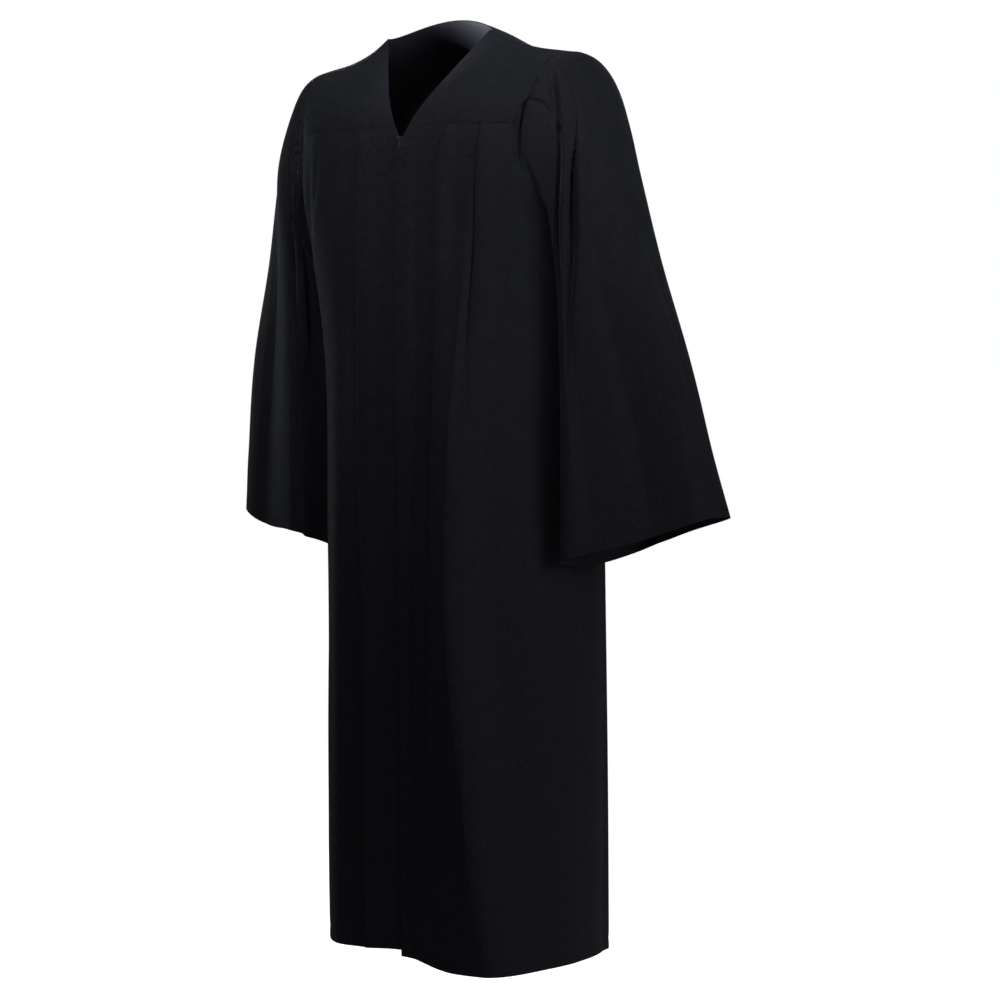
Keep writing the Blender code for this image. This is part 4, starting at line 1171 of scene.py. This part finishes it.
def weave_group():
    """Shader group of a woven cloth's look: its plain weave, uneven yarns, soft mottling and fine crumple.
    The height it gives is in metres."""
    made = bpy.data.node_groups.get("woven cloth")
    if made:
        return made
    group = bpy.data.node_groups.new("woven cloth", "ShaderNodeTree")
    face = group.interface
    inputs = (
        ("Thread Pitch", 0.0005),
        ("Weave Depth", 0.00008),
        ("Crumple Depth", 0.0012),
        ("Dark", 0.008),
        ("Light", 0.014),
    )
    for name, default in inputs:
        socket = face.new_socket(name, in_out="INPUT", socket_type="NodeSocketFloat")
        socket.default_value = default
    tint = face.new_socket("Tint", in_out="INPUT", socket_type="NodeSocketColor")
    tint.default_value = (0.88, 0.92, 1.0, 1.0)
    face.new_socket("Color", in_out="OUTPUT", socket_type="NodeSocketColor")
    face.new_socket("Roughness", in_out="OUTPUT", socket_type="NodeSocketFloat")
    face.new_socket("Height", in_out="OUTPUT", socket_type="NodeSocketFloat")
    links = group.links
    enter = node_at(group, "NodeGroupInput", (-1400, 0))
    leave = node_at(group, "NodeGroupOutput", (900, 0))
    cloth_map = node_at(group, "ShaderNodeUVMap", (-1400, -300), uv_map="cloth")

    split = node_at(group, "ShaderNodeSeparateXYZ", (-1200, -300))
    links.new(cloth_map.outputs["UV"], split.inputs["Vector"])
    threads = []
    for axis, place in (("X", -200), ("Y", -400)):
        count = node_at(group, "ShaderNodeMath", (-1000, place), operation="DIVIDE")
        links.new(split.outputs[axis], count.inputs[0])
        links.new(enter.outputs["Thread Pitch"], count.inputs[1])
        angle = node_at(group, "ShaderNodeMath", (-800, place), operation="MULTIPLY")
        angle.inputs[1].default_value = math.pi
        links.new(count.outputs[0], angle.inputs[0])
        wave = node_at(group, "ShaderNodeMath", (-600, place), operation="SINE")
        links.new(angle.outputs[0], wave.inputs[0])
        threads.append(wave)
    crossing = node_at(group, "ShaderNodeMath", (-400, -300), operation="MULTIPLY")
    links.new(threads[0].outputs[0], crossing.inputs[0])
    links.new(threads[1].outputs[0], crossing.inputs[1])
    weave = node_at(group, "ShaderNodeMath", (-200, -300), operation="MULTIPLY")
    links.new(crossing.outputs[0], weave.inputs[0])
    links.new(enter.outputs["Weave Depth"], weave.inputs[1])

    yarns = stretched_noise(group, cloth_map.outputs["UV"], (230.0, 330.0, 1.0), 3.0, 300)
    patches = stretched_noise(group, cloth_map.outputs["UV"], (48.0, 60.0, 1.0), 3.0, 550)
    crumple = stretched_noise(group, cloth_map.outputs["UV"], (150.0, 190.0, 1.0), 4.0, -600)
    blend = node_at(group, "ShaderNodeMix", (-400, 400), data_type="FLOAT")
    blend.inputs["Factor"].default_value = 0.70
    links.new(patches, blend.inputs["A"])
    links.new(yarns, blend.inputs["B"])
    shade = node_at(group, "ShaderNodeMapRange", (-100, 300))
    shade.inputs["From Min"].default_value = 0.38
    shade.inputs["From Max"].default_value = 0.62
    links.new(blend.outputs["Result"], shade.inputs["Value"])
    links.new(enter.outputs["Dark"], shade.inputs["To Min"])
    links.new(enter.outputs["Light"], shade.inputs["To Max"])
    colour = node_at(group, "ShaderNodeMix", (400, 300), data_type="RGBA", blend_type="MULTIPLY")
    colour.inputs["Factor"].default_value = 1.0
    links.new(enter.outputs["Tint"], colour.inputs["A"])
    links.new(shade.outputs["Result"], colour.inputs["B"])
    links.new(colour.outputs["Result"], leave.inputs["Color"])
    rough = node_at(group, "ShaderNodeMapRange", (400, 0))
    rough.inputs["From Min"].default_value = 0.3
    rough.inputs["From Max"].default_value = 0.7
    rough.inputs["To Min"].default_value = 0.62
    rough.inputs["To Max"].default_value = 0.88
    links.new(blend.outputs["Result"], rough.inputs["Value"])
    links.new(rough.outputs["Result"], leave.inputs["Roughness"])
    height = node_at(group, "ShaderNodeMath", (400, -400), operation="MULTIPLY_ADD")
    links.new(crumple, height.inputs[0])
    links.new(enter.outputs["Crumple Depth"], height.inputs[1])
    links.new(weave.outputs[0], height.inputs[2])
    links.new(height.outputs[0], leave.inputs["Height"])
    return group


def stretched_noise(tree, vector, scale, detail, row):
    """Noise that is finer along one way of the cloth than along the other."""
    mapping = node_at(tree, "ShaderNodeMapping", (-1000, row))
    mapping.inputs["Scale"].default_value = scale
    noise = node_at(tree, "ShaderNodeTexNoise", (-750, row))
    noise.inputs["Scale"].default_value = 1.0
    noise.inputs["Detail"].default_value = detail
    tree.links.new(vector, mapping.inputs["Vector"])
    tree.links.new(mapping.outputs["Vector"], noise.inputs["Vector"])
    return noise.outputs["Fac"]


def cloth_material(name, pitch, dark, light, tint, sheen):
    """Woven cloth: the look comes from the shared group, and the sheen is set on the shader itself."""
    made = bpy.data.materials.new(name)
    made.use_nodes = True
    tree = made.node_tree
    shader = tree.nodes["Principled BSDF"]
    look = node_at(tree, "ShaderNodeGroup", (-500, 200), node_tree=weave_group())
    look.inputs["Thread Pitch"].default_value = pitch
    look.inputs["Dark"].default_value = dark
    look.inputs["Light"].default_value = light
    look.inputs["Tint"].default_value = (*tint, 1.0)
    bump = node_at(tree, "ShaderNodeBump", (-250, -200))
    bump.inputs["Strength"].default_value = 0.6
    bump.inputs["Distance"].default_value = 1.0
    tree.links.new(look.outputs["Color"], shader.inputs["Base Color"])
    tree.links.new(look.outputs["Roughness"], shader.inputs["Roughness"])
    tree.links.new(look.outputs["Height"], bump.inputs["Height"])
    tree.links.new(bump.outputs["Normal"], shader.inputs["Normal"])
    shader.inputs["Specular IOR Level"].default_value = 0.16
    shader.inputs["Specular Tint"].default_value = (0.78, 0.82, 1.0, 1.0)
    shader.inputs["Sheen Weight"].default_value = sheen
    shader.inputs["Sheen Roughness"].default_value = 0.45
    shader.inputs["Sheen Tint"].default_value = (0.80, 0.88, 1.0, 1.0)
    return made


def yarn_material(name, dark, light, roughness):
    """A fine twisted yarn or binding: small patches of two near shades all over it."""
    made = bpy.data.materials.new(name)
    made.use_nodes = True
    tree = made.node_tree
    shader = tree.nodes["Principled BSDF"]
    place = node_at(tree, "ShaderNodeTexCoord", (-900, 0))
    grain = node_at(tree, "ShaderNodeTexNoise", (-700, 0))
    grain.inputs["Scale"].default_value = 900.0
    tree.links.new(place.outputs["Object"], grain.inputs["Vector"])
    colour = node_at(tree, "ShaderNodeMix", (-400, 150), data_type="RGBA")
    colour.inputs["A"].default_value = (dark * 0.78, dark * 0.84, dark, 1.0)
    colour.inputs["B"].default_value = (light * 0.78, light * 0.84, light, 1.0)
    tree.links.new(grain.outputs["Fac"], colour.inputs["Factor"])
    tree.links.new(colour.outputs["Result"], shader.inputs["Base Color"])
    bump = node_at(tree, "ShaderNodeBump", (-400, -250))
    bump.inputs["Strength"].default_value = 0.4
    bump.inputs["Distance"].default_value = 0.0001
    tree.links.new(grain.outputs["Fac"], bump.inputs["Height"])
    tree.links.new(bump.outputs["Normal"], shader.inputs["Normal"])
    shader.inputs["Roughness"].default_value = roughness
    shader.inputs["Specular IOR Level"].default_value = 0.1
    return made


def metal_material():
    """Worn nickel: fine grain in its brightness, its shine and its surface."""
    made = bpy.data.materials.new("worn nickel")
    made.use_nodes = True
    tree = made.node_tree
    shader = tree.nodes["Principled BSDF"]
    place = node_at(tree, "ShaderNodeTexCoord", (-900, 0))
    grain = node_at(tree, "ShaderNodeTexNoise", (-700, 0))
    grain.inputs["Scale"].default_value = 1500.0
    links = tree.links
    links.new(place.outputs["Object"], grain.inputs["Vector"])
    colour = node_at(tree, "ShaderNodeMix", (-400, 150), data_type="RGBA")
    colour.inputs["A"].default_value = (0.34, 0.34, 0.35, 1.0)
    colour.inputs["B"].default_value = (0.50, 0.50, 0.52, 1.0)
    links.new(grain.outputs["Fac"], colour.inputs["Factor"])
    links.new(colour.outputs["Result"], shader.inputs["Base Color"])
    rough = node_at(tree, "ShaderNodeMapRange", (-400, -100))
    rough.inputs["To Min"].default_value = 0.22
    rough.inputs["To Max"].default_value = 0.42
    links.new(grain.outputs["Fac"], rough.inputs["Value"])
    links.new(rough.outputs["Result"], shader.inputs["Roughness"])
    bump = node_at(tree, "ShaderNodeBump", (-400, -350))
    bump.inputs["Strength"].default_value = 0.1
    bump.inputs["Distance"].default_value = 0.0001
    links.new(grain.outputs["Fac"], bump.inputs["Height"])
    links.new(bump.outputs["Normal"], shader.inputs["Normal"])
    shader.inputs["Metallic"].default_value = 1.0
    return made


def settings():
    return bpy.context.scene.gown_settings


def black_cloth():
    """The gown's cloth, made once."""
    made = bpy.data.materials.get("black gown cloth")
    if made:
        return made
    values = settings()
    return cloth_material(
        "black gown cloth", values.thread_pitch, values.darkest, values.lightest, values.tint, values.sheen
    )


class GownSettings(bpy.types.PropertyGroup):
    """Sizes and colours of the gown's cloth, sewing and light."""

    cloth_thickness: bpy.props.FloatProperty(
        name="Cloth thickness",
        description="How thick each layer of the gown's cloth is",
        default=0.0008,
        min=0.0003,
        max=0.0015,
        unit="LENGTH",
    )
    thread_pitch: bpy.props.FloatProperty(
        name="Thread pitch",
        description="From one yarn of the weave to the next",
        default=0.0005,
        min=0.0002,
        max=0.002,
        unit="LENGTH",
    )
    darkest: bpy.props.FloatProperty(
        name="Darkest cloth",
        description="How much light the darkest places of the cloth give back",
        default=0.0100,
        min=0.0,
        max=0.2,
        subtype="FACTOR",
    )
    lightest: bpy.props.FloatProperty(
        name="Lightest cloth",
        description="How much light the lightest places of the cloth give back",
        default=0.0200,
        min=0.0,
        max=0.2,
        subtype="FACTOR",
    )
    tint: bpy.props.FloatVectorProperty(
        name="Cloth tint",
        description="Colour that the cloth leans to",
        default=(0.76, 0.79, 1.0),
        min=0.0,
        max=1.0,
        size=3,
        subtype="COLOR",
    )
    sheen: bpy.props.FloatProperty(
        name="Sheen",
        description="Soft shine of the cloth where it turns away",
        default=0.06,
        min=0.0,
        max=1.0,
        subtype="FACTOR",
    )
    stitch_step: bpy.props.FloatProperty(
        name="Stitch step",
        description="From the middle of one stitch to the middle of the next",
        default=0.0034,
        min=0.0015,
        max=0.008,
        unit="LENGTH",
    )
    thread_width: bpy.props.FloatProperty(
        name="Thread width",
        description="How thick the sewing thread is",
        default=0.0005,
        min=0.0002,
        max=0.001,
        unit="LENGTH",
    )
    key_power: bpy.props.FloatProperty(
        name="Key light",
        description="Power of the large soft light on the wearer's left",
        default=30.5,
        min=0.0,
        max=2000.0,
        unit="POWER",
    )
    chest_power: bpy.props.FloatProperty(
        name="Chest light",
        description="Power of the soft light that widens from the front onto the chest",
        default=2.1,
        min=0.0,
        max=2000.0,
        unit="POWER",
    )
    neck_power: bpy.props.FloatProperty(
        name="Neck light",
        description="Power of the narrow light that reaches into the neck",
        default=0.06,
        min=0.0,
        max=2000.0,
        unit="POWER",
    )
    above_power: bpy.props.FloatProperty(
        name="Light from above",
        description="Power of the soft light over the shoulders",
        default=3.0,
        min=0.0,
        max=2000.0,
        unit="POWER",
    )
    rear_power: bpy.props.FloatProperty(
        name="Rear light",
        description="Power of the soft light behind the gown",
        default=16.0,
        min=0.0,
        max=2000.0,
        unit="POWER",
    )
    back_power: bpy.props.FloatProperty(
        name="Back light",
        description="Power of the soft light behind the wearer's right side",
        default=0.075,
        min=0.0,
        max=2000.0,
        unit="POWER",
    )


class GOWN_OT_body(bpy.types.Operator):
    """Makes the yoke, the two fronts and the back"""

    bl_idname = "gown.body"
    bl_label = "Gown Body"

    def execute(self, context):
        wall = settings().cloth_thickness
        cloth = black_cloth()
        # The yoke's inside is a shinier satin lining whose colour is set three to four times lighter than the
        # cloth's: painted light for the inside of the neck
        lining = cloth_material("satin lining with painted light", 0.0004, 0.036, 0.060, settings().tint, 0.1)
        lining.node_tree.nodes["Principled BSDF"].inputs["Specular IOR Level"].default_value = 0.8
        pieces = (
            ("yoke_cloth", [yoke_front_grid(1), yoke_front_grid(-1), yoke_back_grid()], "yoke"),
            ("front_left_cloth", [front_grid(1)], "front_left"),
            ("front_right_cloth", [front_grid(-1)], "front_right"),
            ("back_cloth", [back_grid()], "back"),
        )
        for name, grids, node in pieces:
            obj = shell(name, grids, BODY_AXIS, wall, cloth, lining if node == "yoke" else None)
            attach(obj, "gown")
            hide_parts(node)
        return {"FINISHED"}


class GOWN_OT_sleeves(bpy.types.Operator):
    """Makes the two bell sleeves, set into the armholes of the body"""

    bl_idname = "gown.sleeves"
    bl_label = "Bell Sleeves"

    def execute(self, context):
        back, yoke_back = back_grid(), yoke_back_grid()
        for side, word in ((1, "left"), (-1, "right")):
            around, ring = armhole_ring(side, front_grid(side), back, yoke_front_grid(side), yoke_back)
            axis = (side * SLEEVE_AXIS[0], SLEEVE_AXIS[1])
            grid = sleeve_grid(side, around, ring)
            obj = shell(f"sleeve_{word}_cloth", [grid], axis, settings().cloth_thickness, black_cloth())
            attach(obj, "gown")
            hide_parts(f"sleeve_{word}")
        return {"FINISHED"}


class GOWN_OT_sewing(bpy.types.Operator):
    """Makes the bound neck edge, its colour lighter than the cloth as a painted highlight, and every line of
    stitches
    """

    bl_idname = "gown.sewing"
    bl_label = "Neck Edge and Stitches"

    def execute(self, context):
        values = settings()
        # The yarn of the neck's binding is about twice as light as the cloth: a painted highlight along the
        # edge of the neck
        binding = yarn_material("bound edge with painted highlight", 0.022, 0.036, 0.6)
        edge = tube("neck_edge", neck_line(), NECK_BINDING, 10, binding)
        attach(edge, "gown")
        sizes = {
            "Step": values.stitch_step,
            "Width": values.thread_width / 2,
            "Depth": values.thread_width / 2,
            "Length": values.stitch_step * STITCH_SHARE,
        }
        group = repeated_group("stitches along lines", "GeometryNodeMeshIcoSphere")
        thread = yarn_material("black thread", 0.004, 0.009, 0.9)
        stitches = repeated_along("gown_stitches", stitch_lines(), group, sizes, thread)
        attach(stitches, "gown")
        return {"FINISHED"}


class GOWN_OT_zip(bpy.types.Operator):
    """Makes the zip's tape and teeth behind the lap, and finishes its slider and pull tab"""

    bl_idname = "gown.zip"
    bl_label = "Zip"

    def execute(self, context):
        tape_cloth = cloth_material("black zip tape", 0.0007, 0.010, 0.018, (0.9, 0.93, 1.0), 0.03)
        tape = shell("zip_tape_strips", tape_strips(), BODY_AXIS, TAPE_THICKNESS, tape_cloth)
        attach(tape, "gown")
        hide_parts("zip_tape")
        group = repeated_group("teeth along lines", "GeometryNodeMeshCube")
        sizes = dict(zip(("Width", "Depth", "Length"), TOOTH_SIZE), Step=TOOTH_STEP)
        nickel = metal_material()
        teeth = repeated_along("zip_teeth", teeth_lines(), group, sizes, nickel)
        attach(teeth, "gown")
        for node in ("zip_slider", "zip_pull"):
            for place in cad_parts[node].material_slots:
                place.material = nickel
        return {"FINISHED"}


class GOWN_OT_stage(bpy.types.Operator):
    """Makes the pale floor, the soft studio light and the photograph's camera"""

    bl_idname = "gown.stage"
    bl_label = "Studio"

    def execute(self, context):
        scene = context.scene
        bm = bmesh.new()
        bmesh.ops.create_circle(bm, cap_ends=True, segments=96, radius=40.0)
        bmesh.ops.translate(bm, vec=(0, 0, -FLOOR_DROP), verts=bm.verts)
        mesh = bpy.data.meshes.new("floor")
        bm.to_mesh(mesh)
        bm.free()
        floor = linked("floor", mesh, floor_material())
        values = settings()
        lights = (
            ("key light", (3.09, -0.83, 0.30), (0, 0, -0.60), 2.0, 180, values.key_power),
            ("neck light", (-0.45, -1.70, -0.35), (0.035, 0.02, 0.0), 0.06, 5, values.neck_power),
            ("chest light", (0.68, -1.88, 1.30), (0, 0, 0.12), 0.7, 38, values.chest_power),
            ("light from above", (0.0, -0.4, 2.4), (0, 0, -0.30), 1.2, 120, values.above_power),
            ("back light", (-2.40, 0.50, 0.00), (-0.36, 0.02, -0.34), 0.7, 25, values.back_power),
            ("rear light", (-2.00, 2.40, 0.50), (0, 0.1, -0.6), 0.9, 100, values.rear_power),
        )
        for name, place, target, size, spread, power in lights:
            area_light(name, place, target, size, math.radians(spread), power)
        world = bpy.data.worlds.new("studio")
        world.use_nodes = True
        tree = world.node_tree
        seen = node_at(tree, "ShaderNodeLightPath", (-700, 200))
        strength = node_at(tree, "ShaderNodeMapRange", (-400, 100))
        strength.inputs["To Min"].default_value = 0.012
        strength.inputs["To Max"].default_value = 1.0
        tree.links.new(seen.outputs["Is Camera Ray"], strength.inputs["Value"])
        tree.nodes["Background"].inputs["Color"].default_value = (1, 1, 1, 1)
        tree.links.new(strength.outputs["Result"], tree.nodes["Background"].inputs["Strength"])
        scene.world = world
        scene.view_settings.view_transform = "Standard"
        lens = bpy.data.cameras.new("camera")
        lens.sensor_width = SENSOR_MM
        lens.lens = FOCAL_PIXELS / FRAME_PIXELS * SENSOR_MM
        camera = bpy.data.objects.new("camera", lens)
        away = Vector((math.sin(CAMERA_TURN), -math.cos(CAMERA_TURN), 0)) * CAMERA_DISTANCE
        camera.location = away + Vector((0, 0, CAMERA_HEIGHT))
        yaw = CAMERA_TURN - math.atan((FRAME_PIXELS / 2 - ORIGIN_COLUMN) / FOCAL_PIXELS)
        pitch = math.atan((FRAME_PIXELS / 2 - EYE_LINE_ROW) / FOCAL_PIXELS)
        camera.rotation_euler = (math.pi / 2 - pitch, 0, yaw)
        scene.collection.objects.link(camera)
        scene.camera = camera
        return {"FINISHED"}


def floor_material():
    """A plain pale floor that the camera sees as nearly white, with a soft shadow on it."""
    made = bpy.data.materials.new("pale floor")
    made.use_nodes = True
    tree = made.node_tree
    shader = tree.nodes["Principled BSDF"]
    place = node_at(tree, "ShaderNodeTexCoord", (-700, 0))
    grain = node_at(tree, "ShaderNodeTexNoise", (-500, 0))
    grain.inputs["Scale"].default_value = 30.0
    colour = node_at(tree, "ShaderNodeMix", (-250, 0), data_type="RGBA")
    colour.inputs["A"].default_value = (0.70, 0.70, 0.70, 1.0)
    colour.inputs["B"].default_value = (0.74, 0.74, 0.74, 1.0)
    seen = node_at(tree, "ShaderNodeLightPath", (-500, -300))
    tree.links.new(place.outputs["Object"], grain.inputs["Vector"])
    tree.links.new(grain.outputs["Fac"], colour.inputs["Factor"])
    tree.links.new(colour.outputs["Result"], shader.inputs["Base Color"])
    tree.links.new(seen.outputs["Is Camera Ray"], shader.inputs["Emission Strength"])
    shader.inputs["Roughness"].default_value = 0.9
    shader.inputs["Emission Color"].default_value = (1.0, 1.0, 1.0, 1)
    return made


def area_light(name, place, target, size, spread, power):
    light = bpy.data.lights.new(name, "AREA")
    light.shape = "DISK"
    light.size = size
    light.energy = power
    light.spread = spread
    obj = bpy.data.objects.new(name, light)
    obj.location = place
    obj.rotation_euler = (Vector(target) - Vector(place)).to_track_quat("-Z", "Y").to_euler()
    bpy.context.scene.collection.objects.link(obj)


class GOWN_PT_panel(bpy.types.Panel):
    """Lists the gown's pieces and the settings they share"""

    bl_label = "Graduation Gown"
    bl_idname = "GOWN_PT_panel"
    bl_space_type = "VIEW_3D"
    bl_region_type = "UI"
    bl_category = "Gown"

    def draw(self, context):
        for name in GownSettings.__annotations__:
            self.layout.prop(context.scene.gown_settings, name)
        for operator in OPERATORS:
            self.layout.operator(operator.bl_idname)


OPERATORS = (GOWN_OT_body, GOWN_OT_sleeves, GOWN_OT_sewing, GOWN_OT_zip, GOWN_OT_stage)


def register():
    for made in (GownSettings, *OPERATORS, GOWN_PT_panel):
        bpy.utils.register_class(made)
    bpy.types.Scene.gown_settings = bpy.props.PointerProperty(type=GownSettings)


def unregister():
    del bpy.types.Scene.gown_settings
    for made in (GOWN_PT_panel, *reversed(OPERATORS), GownSettings):
        bpy.utils.unregister_class(made)


def main():
    register()
    bpy.ops.gown.body()
    bpy.ops.gown.sleeves()
    bpy.ops.gown.sewing()
    bpy.ops.gown.zip()
    bpy.ops.gown.stage()


if __name__ == "__main__":
    main()
